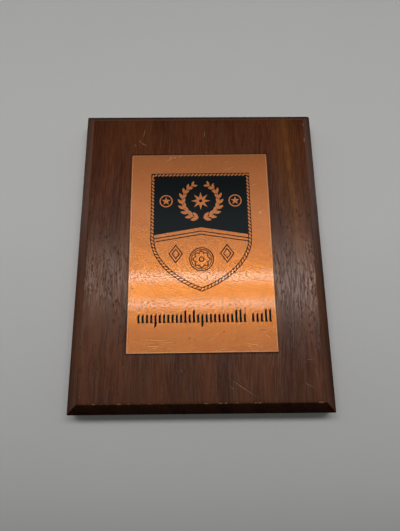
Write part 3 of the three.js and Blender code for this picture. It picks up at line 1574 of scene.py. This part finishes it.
    def _loss(self, place: Vector, point: ProfilePoint) -> float:
        """Works out how much wood an arris has lost.

        Args:
            place: The place on the front.
            point: The ring that asks.

        Returns:
            The depth of the loss.
        """
        if point.arris is Arris.NONE:
            return 0.0
        spot = Vector((place.x, place.y, self.rub_offset * len(point.arris.name)))
        rubbed = sum(noise.noise(spot * pitch) * weight for pitch, weight in self.rub_waves)
        loss = self.rub_depth * max(0.0, self.rub_share + rubbed)
        if point.arris is Arris.FRONT:
            for nick in self.nicks:
                away = math.hypot(place.x - nick.x, place.y - nick.z) / (self.nick_spread * nick.half_length)
                loss = max(loss, self.nick_share * nick.depth * max(0.0, 1.0 - away * away))
        return loss

    def _close_front(self, draft: Draft, outline: Sequence[Vector]) -> None:
        """Closes the front with its scratches as real grooves and its specks as laid-open fibres.

        Args:
            draft: The solid.
            outline: The flat's outline.
        """
        shapes = [Shape(outline, BoardLook.STAINED)]
        floors: list[tuple[Vector, float]] = []
        for scratch in self.scratches:
            left, right = lens(Vector(scratch.start), Vector(scratch.end), scratch.width, scratch.bow)
            middle = [a.lerp(b, self.groove_floor) for a, b in zip(left, right)]
            shapes.append(Shape([*left, *reversed(middle[1:-1])], BoardLook.STAINED))
            shapes.append(Shape([*middle, *reversed(right[1:-1])], BoardLook.SCRATCHED))
            floors.extend((point, scratch.depth) for point in middle[1:-1])
        draw = random.Random(self.speck_seed)
        for speck in self.specks:
            lean = Vector((draw.uniform(-self.speck_tilt, self.speck_tilt), 1.0)).normalized()
            half = lean * draw.uniform(*self.speck_half_length)
            ends = (Vector(speck) - half, Vector(speck) + half)
            speck_outline = sliver(*ends, draw.uniform(*self.speck_width), steps=self.speck_steps)
            shapes.append(Shape(speck_outline, BoardLook.SCRATCHED))

        def sink(point: Vector) -> Vector:
            """Places a point of the face, at the bottom of its groove if it lies on one."""
            depth = max((d for spot, d in floors if (spot - point).length < GROOVE_MATCH), default=0.0)
            return Vector((point.x, depth - self.thickness, point.y))

        draft.add_flat(lay_out(shapes, self._grid()), sink)

    def _grid(self) -> list[Vector]:
        """Spreads points over the middle of the front and the back, so that no triangle is a long sliver."""
        reaches = (size / 2 - self.bevel_width - self.grid_margin for size in (self.width, self.height))
        return grid(*reaches, self.grid_step)

    def _close_back(self, draft: Draft, outline: Sequence[Vector]) -> None:
        """Closes the back round the keyhole, and lines the keyhole with its walls, its lip and its floor.

        Args:
            draft: The solid.
            outline: The back's outline.
        """
        keyhole = self.keyhole
        mouth, pocket = keyhole.mouth(), keyhole.pocket()
        beside, below, above = self.keyhole_clearance
        low, high = keyhole.hole.y - below, keyhole.seat.y + above
        clear = [point for point in self._grid() if abs(point.x) > beside or not low < point.y < high]
        flats = (
            (lay_out([Shape(outline, BoardLook.STAINED), Shape(mouth, None)], clear), 0.0),
            (lay_out([Shape(keyhole.lip_underside(), BoardLook.ROUTED)]), keyhole.lip),
            (lay_out([Shape(pocket, BoardLook.ROUTED)]), keyhole.depth),
        )
        for flat, depth in flats:
            draft.add_flat(flat, self._at_depth(depth))
        for ring, top, bottom in ((mouth, 0.0, keyhole.lip), (pocket, keyhole.lip, keyhole.depth)):
            ends = [draft.add_ring([self._at_depth(y)(point) for point in ring]) for y in (top, bottom)]
            draft.join(*ends, BoardLook.ROUTED, smooth=False)

    def _at_depth(self, depth: float) -> Callable[[Vector], Vector]:
        """Returns the rule that places a flat point at a depth below the back."""
        return lambda point: Vector((point.x, -depth, point.y))


# Plate


@dataclass(frozen=True)
class Star:
    """A star with one ray that points up."""

    rays: int
    outer: float
    inner: float

    def around(self, centre: Vector) -> list[Vector]:
        """Draws the star.

        Args:
            centre: Its middle.

        Returns:
            The star's outline.
        """
        turns = [math.pi / 2 + math.pi * step / self.rays for step in range(2 * self.rays)]
        reaches = [self.outer, self.inner] * self.rays
        return [centre + reach * Vector((math.cos(t), math.sin(t))) for reach, t in zip(reaches, turns)]


@dataclass(frozen=True)
class Artwork:
    """The printed picture: a shield in a rope border with a wreath and a rosette, and a run of strokes below.

    It is drawn round the plate's centre, X to the right and Y up.
    """

    copper: bpy.types.Material
    ink: bpy.types.Material
    centre_x: float = 0.45
    line: float = 0.78

    half_width: float = 39.2
    top: float = 62.2
    shoulder: float = 8.0
    lower_pulls: tuple[tuple[float, float], tuple[float, float]] = ((39.2, -14.0), (16.0, -29.0))
    tip: float = -34.5
    side_steps: int = 26
    rope_width: float = 3.0
    strands: RopeStrands = RopeStrands()
    field_side: float = 10.0
    field_peak: float = 16.0
    chevron_drops: tuple[float, ...] = (2.6, 5.2)
    chevron_overlap: float = 0.4

    wreath_y: float = 38.2
    wreath_radius: float = 14.6
    branches: tuple[tuple[float, float], ...] = ((-82.0, 62.0), (-98.0, -242.0))
    branch_steps: int = 24
    leaves: LeafRow = LeafRow(count=9, length=6.4, width=2.7, splay=math.radians(32.0), taper=0.72)
    stem_half_width: float = 0.35
    star: Star = Star(8, 7.6, 3.2)
    star_hub: float = 1.3
    star_hub_steps: int = 20
    roundel_x: float = 27.2
    roundel_radius: float = 5.2
    roundel_line: float = 0.9
    roundel_star: Star = Star(5, 3.6, 1.5)

    rosette_y: float = -9.6
    rosette_radius: float = 9.4
    rosette_steps: int = 48
    rosette_inset: float = 1.5
    rosette_inner_line: float = 0.624
    rosette_hub: float = 2.1
    petal_foot: float = 1.7
    hub_steps: int = 24
    petals: tuple[LeafRow, LeafRow] = (
        LeafRow(count=8, length=5.4, width=4.6, splay=-math.pi / 2, both_sides=False),
        LeafRow(count=8, length=4.5, width=3.3, splay=-math.pi / 2, both_sides=False),
    )
    lozenge_x: float = 19.6
    lozenge_y: float = -5.2
    lozenge_half: tuple[float, float] = (5.6, 7.6)
    lozenge_sizes: tuple[float, ...] = (1.0, 0.58)

    writing_foot: float = -57.2
    writing_groups: tuple[tuple[float, float, int], ...] = ((-46.2, 31.4, 5), (37.4, 50.0, 17))

    def shapes(self) -> list[Shape]:
        """Returns all shapes of the picture, from the lowest to the topmost."""
        return [*self._shield(), *self._wreath(), *self._rosette(), *self._writing()]

    def _inked(self, *outlines: Sequence[Vector]) -> list[Shape]:
        """Fills outlines with ink."""
        return [Shape(outline, PlateLook.INK) for outline in outlines]

    def _bright(self, *outlines: Sequence[Vector]) -> list[Shape]:
        """Fills outlines with bare copper."""
        return [Shape(outline, PlateLook.COPPER) for outline in outlines]

    def _outlined(self, outline: Sequence[Vector], line: float) -> list[Shape]:
        """Draws an outline as a thin inked line with bare copper inside."""
        ordered = anticlockwise(outline)
        return [*self._inked(ordered), *self._bright(moved_inwards(ordered, line))]

    def _placed(self, *corners: tuple[float, float]) -> list[Vector]:
        """Returns an outline whose corners are given from the picture's middle line."""
        return [Vector((self.centre_x + x, y)) for x, y in corners]

    def _edge(self) -> list[Vector]:
        """Draws the shield's outer line.

        Returns:
            Its points, anticlockwise from the top right corner.
        """
        ends = ((self.half_width, self.shoulder), *self.lower_pulls, (0.0, self.tip))
        curve = interpolate_bezier(*(Vector(end).to_3d() for end in ends), self.side_steps)
        right = [(p.x, p.y) for p in curve]
        left = [(-x, y) for x, y in right[:-1]]
        top = ((self.half_width, self.top), (-self.half_width, self.top))
        return self._placed(*top, *left, *reversed(right))

    def _shield(self) -> list[Shape]:
        """Draws the rope border, the black field with its peaked lower edge, and the two lines under it.

        Returns:
            The shapes.
        """
        edge = self._edge()
        shapes = self._inked(edge) + self._bright(moved_inwards(edge, self.rope_width))
        half, top = self.half_width - self.rope_width, self.top - self.rope_width
        side, peak = self.field_side, self.field_peak
        field = ((half, top), (-half, top), (-half, side), (0.0, peak), (half, side))
        shapes += self._inked(self._placed(*field))
        half += self.chevron_overlap
        for drop in self.chevron_drops:
            upper = [(half, side - drop), (0.0, peak - drop), (-half, side - drop)]
            lower = [(x, y - self.line) for x, y in reversed(upper)]
            shapes += self._inked(self._placed(*upper, *lower))
        middle = moved_inwards(edge, self.rope_width / 2)
        return shapes + self._bright(*self.strands.along(middle, self.copper))

    def _wreath(self) -> list[Shape]:
        """Draws two branches of leaves round a star, with a ringed roundel on either side.

        Returns:
            The shapes.
        """
        centre = Vector((self.centre_x, self.wreath_y))
        half = self.stem_half_width
        shapes = []
        for branch in self.branches:
            outer, middle, inner = (
                arc(centre, self.wreath_radius + aside, *branch, self.branch_steps)
                for aside in (half, 0.0, -half)
            )
            leaves = self.leaves.along(middle, self.copper)
            shapes += self._bright([*outer, *reversed(inner)], *leaves)
        shapes += self._bright(self.star.around(centre))
        shapes += self._inked(circle(centre, self.star_hub, self.star_hub_steps))
        for side in (-1.0, 1.0):
            spot = centre + Vector((side * self.roundel_x, 0.0))
            shapes += self._bright(circle(spot, self.roundel_radius))
            shapes += self._inked(circle(spot, self.roundel_radius - self.roundel_line))
            shapes += self._bright(self.roundel_star.around(spot))
        return shapes

    def _rosette(self) -> list[Shape]:
        """Draws an outlined rosette between two outlined lozenges, on the bare lower field.

        Returns:
            The shapes.
        """
        centre = Vector((self.centre_x, self.rosette_y))
        inner_radius = self.rosette_radius - self.rosette_inset
        shapes = self._outlined(circle(centre, self.rosette_radius, self.rosette_steps), self.line)
        shapes += self._outlined(circle(centre, inner_radius, self.rosette_steps), self.rosette_inner_line)
        foot = circle(centre, self.petal_foot, self.hub_steps)
        inked, bright = (petals.along(foot, self.ink, closed=True) for petals in self.petals)
        shapes += self._inked(*inked) + self._bright(*bright)
        shapes += self._outlined(circle(centre, self.rosette_hub, self.hub_steps), self.line)
        for side in (-1.0, 1.0):
            spot = Vector((self.centre_x + side * self.lozenge_x, self.lozenge_y))
            for size in self.lozenge_sizes:
                shapes += self._outlined(self._lozenge(spot, size), self.line)
        return shapes

    def _lozenge(self, centre: Vector, size: float) -> list[Vector]:
        """Returns the outline of an upright lozenge."""
        x, y = (half * size for half in self.lozenge_half)
        return [centre + Vector(corner) for corner in ((x, 0.0), (0.0, y), (-x, 0.0), (0.0, -y))]

    def _writing(self) -> list[Shape]:
        """Draws the strokes that stand where a plaque has its inscription, in a long and a short group.

        Returns:
            The shapes.
        """
        strokes = []
        for left, right, seed in self.writing_groups:
            foot = [Vector((left, self.writing_foot)), Vector((right, self.writing_foot))]
            strokes += NibStrokes(seed=seed).along(foot, self.ink)
        return self._inked(*strokes)


@dataclass(frozen=True)
class Mark:
    """A thin pointed mark in the plate's lacquer, in the plate's own X and Y."""

    start: tuple[float, float]
    end: tuple[float, float]
    width: float
    look: PlateLook = PlateLook.SCUFFED
    bow: float = 0.0

    def shape(self) -> Shape:
        """Returns the mark's outline and look."""
        return Shape(sliver(Vector(self.start), Vector(self.end), self.width, self.bow), self.look)


@dataclass
class Plate:
    """The thin copper sheet: a rolled-over cut edge and a flat front that is divided into copper and ink."""

    artwork: Artwork
    width: float = PLATE_WIDTH
    height: float = PLATE_HEIGHT
    thickness: float = PLATE_THICKNESS
    top_corner_radius: float = 0.9
    bottom_corner_radius: float = 0.3
    roll_width: float = 0.5
    roll_depth: float = 0.2
    roll_steps: int = 4
    rim: float = 0.45
    shift: tuple[float, float] = PLATE_SHIFT
    tilt_degrees: float = 0.29
    board_thickness: float = BOARD_THICKNESS
    edge_step: float = 2.6
    grid_step: float = 6.0
    grid_margin: float = 4.0
    marks: tuple[Mark, ...] = (
        Mark((-28.0, 72.6), (-20.9, 76.2), 0.55),
        Mark((-24.6, 75.4), (-22.4, 77.2), 1.3),
        Mark((-21.2, 75.9), (-18.6, 76.9), 1.4),
        Mark((-17.0, 76.6), (-14.6, 77.2), 0.9),
        Mark((0.4, 68.7), (1.3, 67.9), 0.8),
        Mark((18.4, 64.4), (28.6, 67.6), 0.45),
        Mark((20.8, 71.6), (23.2, 72.6), 1.0),
        Mark((40.2, 50.7), (45.8, 52.4), 0.5),
        Mark((45.6, 28.6), (48.2, 27.2), 2.4),
        Mark((-43.4, -69.2), (-24.6, -70.0), 0.28),
        Mark((-30.2, -70.9), (-18.8, -71.6), 0.30),
        Mark((-40.4, -73.6), (-30.0, -74.4), 0.24),
        Mark((4.0, -70.4), (8.6, -68.8), 0.35, bow=0.3),
        Mark((30.0, -71.9), (44.9, -75.6), 0.28),
        Mark((46.2, -66.4), (50.4, -69.8), 0.4),
        Mark((10.7, 52.9), (11.5, 52.6), 0.6),
        Mark((-9.6, -68.9), (-8.4, -68.5), 0.9, PlateLook.TARNISHED),
        Mark((-6.4, -69.2), (-5.5, -70.2), 0.7, PlateLook.TARNISHED),
        Mark((14.2, -41.4), (14.8, -45.6), 0.55, PlateLook.TARNISHED),
        Mark((-52.6, -32.1), (-50.0, -31.4), 0.7, PlateLook.TARNISHED),
        Mark((14.6, -64.4), (16.8, -63.6), 0.7, PlateLook.TARNISHED),
        Mark((41.6, -63.0), (47.8, -62.8), 0.6, PlateLook.TARNISHED),
    )

    def build(self, materials: Sequence[bpy.types.Material]) -> bpy.types.Object:
        """Makes the plate.

        Args:
            materials: Copper, ink, scuffed copper and tarnished copper.

        Returns:
            The plate as a closed solid.
        """
        top, bottom = self.top_corner_radius, self.bottom_corner_radius
        outline = RoundedRectangle(self.width, self.height, (top, top, bottom, bottom), self.edge_step)
        draft = Draft("copper_plate")
        rings = []
        for inset, depth in self._profile():
            rings.append(draft.add_ring([self._place(depth)(point) for point in outline.ring(inset)]))
        for back, front in zip(rings[:-1], rings[1:-1]):
            draft.join(back, front, PlateLook.COPPER)
        draft.join(rings[-2], rings[-1], PlateLook.SCUFFED)
        draft.add_flat(lay_out([Shape(outline.ring(0.0), PlateLook.COPPER)]), self._place(0.0))
        sheet = Shape(outline.ring(self.roll_width + self.rim), PlateLook.COPPER)
        marks = [mark.shape() for mark in self.marks]
        front = lay_out([sheet, *self.artwork.shapes(), *marks], self._grid())
        draft.add_flat(front, self._place(self.thickness))
        return draft.build(materials)

    def _profile(self) -> list[tuple[float, float]]:
        """Lists the rings from the back to the front.

        Returns:
            The inset and the height over the board of each ring.
        """
        low = self.thickness - self.roll_depth
        rows = [(0.0, 0.0), (0.0, low)]
        for step in range(1, self.roll_steps + 1):
            angle = math.pi / 2 * step / self.roll_steps
            rows.append((self.roll_width * (1.0 - math.cos(angle)), low + self.roll_depth * math.sin(angle)))
        return [*rows, (self.roll_width + self.rim, self.thickness)]

    def _grid(self) -> list[Vector]:
        """Spreads points over the bare parts of the sheet, so that its triangles stay well shaped."""
        return grid(self.width / 2 - self.grid_margin, self.height / 2 - self.grid_margin, self.grid_step)

    def _place(self, height: float) -> Callable[[Vector], Vector]:
        """Makes the rule that tilts and moves a flat point to its place.

        Args:
            height: The point's height over the board.

        Returns:
            The rule.
        """
        turn = Matrix.Rotation(math.radians(self.tilt_degrees), 2)
        shift = Vector(self.shift)

        def put(point: Vector) -> Vector:
            """Places one point."""
            spot = turn @ point + shift
            return Vector((spot.x, -self.board_thickness - height, spot.y))

        return put


# Stage, light and camera


@dataclass
class Backdrop:
    """The plain pale wall behind the plaque, which runs in a cove into a pale floor. All sizes are in metres.

    The painted falloff tones and the clouds alone are set out in millimetres, as materials are.
    """

    name: str = "backdrop"
    half_width: float = 2.4
    wall_y: float = 0.0006
    wall_top: float = 1.6
    cove_start: float = -0.26
    cove_radius: float = 0.16
    cove_steps: int = 16
    floor_reach: float = 2.6
    finish: str = "pale_backdrop"
    tint: Colour = (1.0, 0.998, 0.976)
    # painted light falloff: greys by height, darker down into the cove and a little towards the top
    tones: tuple[tuple[float, float], ...] = (
        (-200.0, 0.535), (-170.0, 0.615), (-130.0, 0.675), (-60.0, 0.735),
        (30.0, 0.778), (130.0, 0.752), (260.0, 0.685),
    )
    clouds: Pattern = Pattern(90.0, 90.0)
    cloud_shade: float = 0.04
    roughness: float = 0.8
    specular: float = 0.1

    def build(self) -> bpy.types.Object:
        """Makes the backdrop as one sheet that faces the front and neither lights nor mirrors in the plaque.

        Returns:
            The backdrop.
        """
        profile = [(self.wall_y, self.wall_top), (self.wall_y, self.cove_start)]
        for step in range(1, self.cove_steps + 1):
            angle = math.pi / 2 * step / self.cove_steps
            y = self.wall_y - self.cove_radius * (1.0 - math.cos(angle))
            profile.append((y, self.cove_start - self.cove_radius * math.sin(angle)))
        profile.append((-self.floor_reach, self.cove_start - self.cove_radius))
        points = [Vector((side * self.half_width, y, z)) for y, z in profile for side in (-1.0, 1.0)]
        faces = [(2 * row, 2 * row + 2, 2 * row + 3, 2 * row + 1) for row in range(len(profile) - 1)]
        mesh = bpy.data.meshes.new(self.name)
        mesh.from_pydata(points, [], faces)
        mesh.polygons.foreach_set("use_smooth", [True] * len(faces))
        mesh.materials.append(self._material())
        sheet = in_scene(self.name, mesh)
        sheet.visible_diffuse = False
        sheet.visible_glossy = False
        sheet.visible_shadow = False
        return sheet

    def _material(self) -> bpy.types.Material:
        """Makes the matt grey, painted darker towards the foot and a little towards the top as light falls
        off, which can't be seen from behind.

        Returns:
            The material.
        """
        table = MaterialTable(self.finish)
        x, _, z = table.place()
        low, high = self.tones[0][0], self.tones[-1][0]
        height = table.value("ShaderNodeMapRange", {"Value": z, "From Min": low, "From Max": high})
        painted_greys = [tuple(tone * part for part in self.tint) for _, tone in self.tones]
        stops = [((place - low) / (high - low), grey) for (place, _), grey in zip(self.tones, painted_greys)]
        cloud = table.noise(self.clouds, x, z).about(1.0, self.cloud_shade)
        colour = table.shade(table.ramp(height, stops), cloud)
        inputs = {"Base Color": colour, "Roughness": self.roughness, "Specular IOR Level": self.specular}
        shader = table.value("ShaderNodeBsdfPrincipled", inputs)
        behind = table.value("ShaderNodeNewGeometry", output="Backfacing")
        clear = table.value("ShaderNodeBsdfTransparent")
        mixed = table.value("ShaderNodeMixShader", {0: behind, 1: shader, 2: clear})
        table.add("ShaderNodeOutputMaterial", {"Surface": mixed})
        return table.material


@dataclass(frozen=True)
class Panel:
    """A flat lamp that faces the plaque. Its place and sizes are in metres.

    The azimuth and the elevation give its direction from the plaque, in degrees: 0,0 is straight ahead.
    """

    name: str
    elevation: float
    distance: float
    width: float
    height: float
    radiance: float
    azimuth: float = 0.0
    aim_z: float = 0.0
    diffuse: bool = True
    glossy: bool = True
    colour: Colour = (1.0, 1.0, 1.0)

    def build(self, board_group: bpy.types.Collection) -> bpy.types.Object:
        """Makes the lamp.

        Args:
            board_group: The collection that holds the board alone. It is not used here.

        Returns:
            The lamp.
        """
        data = bpy.data.lights.new(self.name, "AREA")
        data.shape = "RECTANGLE"
        data.size = self.width
        data.size_y = self.height
        data.color = self.colour
        data.energy = self.radiance * math.pi * self.width * self.height
        lamp = in_scene(self.name, data)
        turn, rise = math.radians(self.azimuth), math.radians(self.elevation)
        away = Vector((math.sin(turn) * math.cos(rise), -math.cos(turn) * math.cos(rise), math.sin(rise)))
        plate_front = -(BOARD_THICKNESS + PLATE_THICKNESS) * MM
        lamp.location = Vector((0.0, plate_front, self.aim_z)) + away * self.distance
        lamp.rotation_euler = (-away).to_track_quat("-Z", "Y").to_euler()
        lamp.visible_diffuse = self.diffuse
        lamp.visible_glossy = self.glossy
        lamp.visible_camera = False
        return lamp


@dataclass(frozen=True)
class BoardPanel(Panel):
    """A lamp that only the board's varnish mirrors."""

    aim_z: float = -0.0265
    diffuse: bool = False

    def build(self, board_group: bpy.types.Collection) -> bpy.types.Object:
        """Makes the lamp.

        Args:
            board_group: The collection that holds the board alone.

        Returns:
            The lamp.
        """
        lamp = super().build(board_group)
        lamp.light_linking.receiver_collection = board_group
        return lamp


@dataclass
class Studio:
    """Soft studio light.

    One wide key lamp lights the plaque, the lacquer mirrors two thin tubes, two lamps give the board its
    satin sheen, a weak lamp fills the back, and a soft surrounding is mirrored in all of it.
    """

    panels: tuple[Panel, ...] = (
        Panel("key", 20.2, 1.5, 1.7, 0.32, 5.8, glossy=False),
        Panel("upper_tube", 13.0, 1.5, 1.7, 0.038, 4.2, aim_z=-0.0228, diffuse=False, colour=(0.85, 1, 1)),
        Panel("lower_tube", 9.0, 1.5, 1.7, 0.033, 3.75, aim_z=-0.041, diffuse=False, colour=(0.84, 0.98, 1)),
        BoardPanel("satin_sheen", 13.3, 1.5, 1.5, 0.28, 14.2, azimuth=2.5, colour=(1.0, 0.79, 0.66)),
        BoardPanel("right_sheen", 9.7, 1.5, 0.5, 0.11, 16.5, azimuth=20.0, colour=(1.0, 0.92, 0.90)),
        Panel("back_fill", 32.0, 1.6, 0.8, 0.8, 2.6, azimuth=205.0, glossy=False),
    )
    surroundings: tuple[tuple[float, float], ...] = (
        (-90.0, 0.02), (-35.0, 0.04), (-15.0, 0.34), (-5.0, 0.56), (2.0, 0.38), (5.0, 0.30), (11.0, 0.31),
        (17.0, 0.50), (22.0, 0.60), (26.0, 0.38), (30.5, 0.26), (37.0, 0.08), (60.0, 0.05), (90.0, 0.08),
    )
    beside: Ease = Ease(0.45, 0.85)
    side_share: Ease = Ease(0.14, 0.42, 0.35, 1.7)
    diffuse_share: float = 0.65
    seen_grey: float = 0.36

    def build(self, board: bpy.types.Object) -> None:
        """Makes the lamps and the world.

        Args:
            board: The board, whose varnish has sheen lamps of its own.
        """
        board_group = bpy.data.collections.new("board_only")
        board_group.objects.link(board)
        for panel in self.panels:
            panel.build(board_group)
        bpy.context.scene.world = self._world()
        bpy.context.scene.view_settings.view_transform = "Standard"

    def _world(self) -> bpy.types.World:
        """Makes the surroundings: greys by height, of another strength at the sides and on matt surfaces.

        Returns:
            The world.
        """
        world = bpy.data.worlds.new("surroundings")
        world.use_nodes = True
        world.node_tree.nodes.clear()
        table = NodeTable(world.node_tree)
        across, _, up = table.split(table.value("ShaderNodeTexCoord", output="Generated"))
        heights = [(math.sin(math.radians(rise)), level) for rise, level in self.surroundings]
        glow = table.ramp(up * 0.5 + 0.5, [(0.5 + 0.5 * height, (level,) * 3) for height, level in heights])
        is_diffuse = table.value("ShaderNodeLightPath", output="Is Diffuse Ray")
        is_camera = table.value("ShaderNodeLightPath", output="Is Camera Ray")
        share = is_diffuse * (self.diffuse_share - 1.0) + 1.0
        sides = abs(across).ease(self.beside) * (up.ease(self.side_share) - 1.0) + 1.0
        seen = table.mix(is_camera, table.shade(glow, share * sides), (self.seen_grey,) * 3)
        background = table.value("ShaderNodeBackground", {"Color": seen})
        table.add("ShaderNodeOutputWorld", {"Surface": background})
        return world


@dataclass
class PhotoCamera:
    """The camera at the photograph's viewpoint, close in front of the plaque and below its middle."""

    name: str = "photo_camera"
    place: Vector = Vector((-2.32, -302.5, -87.64))
    turn_degrees: tuple[float, float, float] = (104.679, 0.539, -0.282)
    lens: float = 26.165
    sensor: float = 36.0
    nearest: float = 0.01
    farthest: float = 20.0

    def build(self) -> bpy.types.Object:
        """Makes the camera and makes it the scene's camera.

        Returns:
            The camera.
        """
        data = bpy.data.cameras.new(self.name)
        data.lens = self.lens
        data.sensor_width = self.sensor
        data.sensor_fit = "AUTO"
        data.clip_start = self.nearest
        data.clip_end = self.farthest
        camera = in_scene(self.name, data)
        camera.location = self.place * MM
        camera.rotation_euler = Euler([math.radians(angle) for angle in self.turn_degrees])
        bpy.context.scene.camera = camera
        return camera


def stand_in(piece: bpy.types.Object, node: str) -> None:
    """Lets a piece take a CAD node's place and reports it.

    Args:
        piece: The finished piece.
        node: The node that it replaces.
    """
    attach(piece, "root")
    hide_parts(node)
    piece.data.calc_loop_triangles()
    log.info("%s: %d triangles for node %s", piece.name, len(piece.data.loop_triangles), node)


def main() -> None:
    """Builds the plaque, its stage, its light and its camera."""
    logging.basicConfig(level=logging.INFO, format="%(name)s: %(message)s")
    PhotoCamera().build()
    board = Board().build([finish.build() for finish in (StainedWood(), SCRATCHED_WOOD, ROUTED_WOOD)])
    stand_in(board, "board")
    finishes = (LacqueredCopper(), BlackEnamel(), SCUFFED_COPPER, TARNISHED_COPPER)
    copper, ink, scuffed, tarnished = (finish.build() for finish in finishes)
    plate = Plate(Artwork(copper, ink)).build([copper, ink, scuffed, tarnished])
    stand_in(plate, "plate")
    Backdrop().build()
    Studio().build(board)


if __name__ == "__main__":
    main()
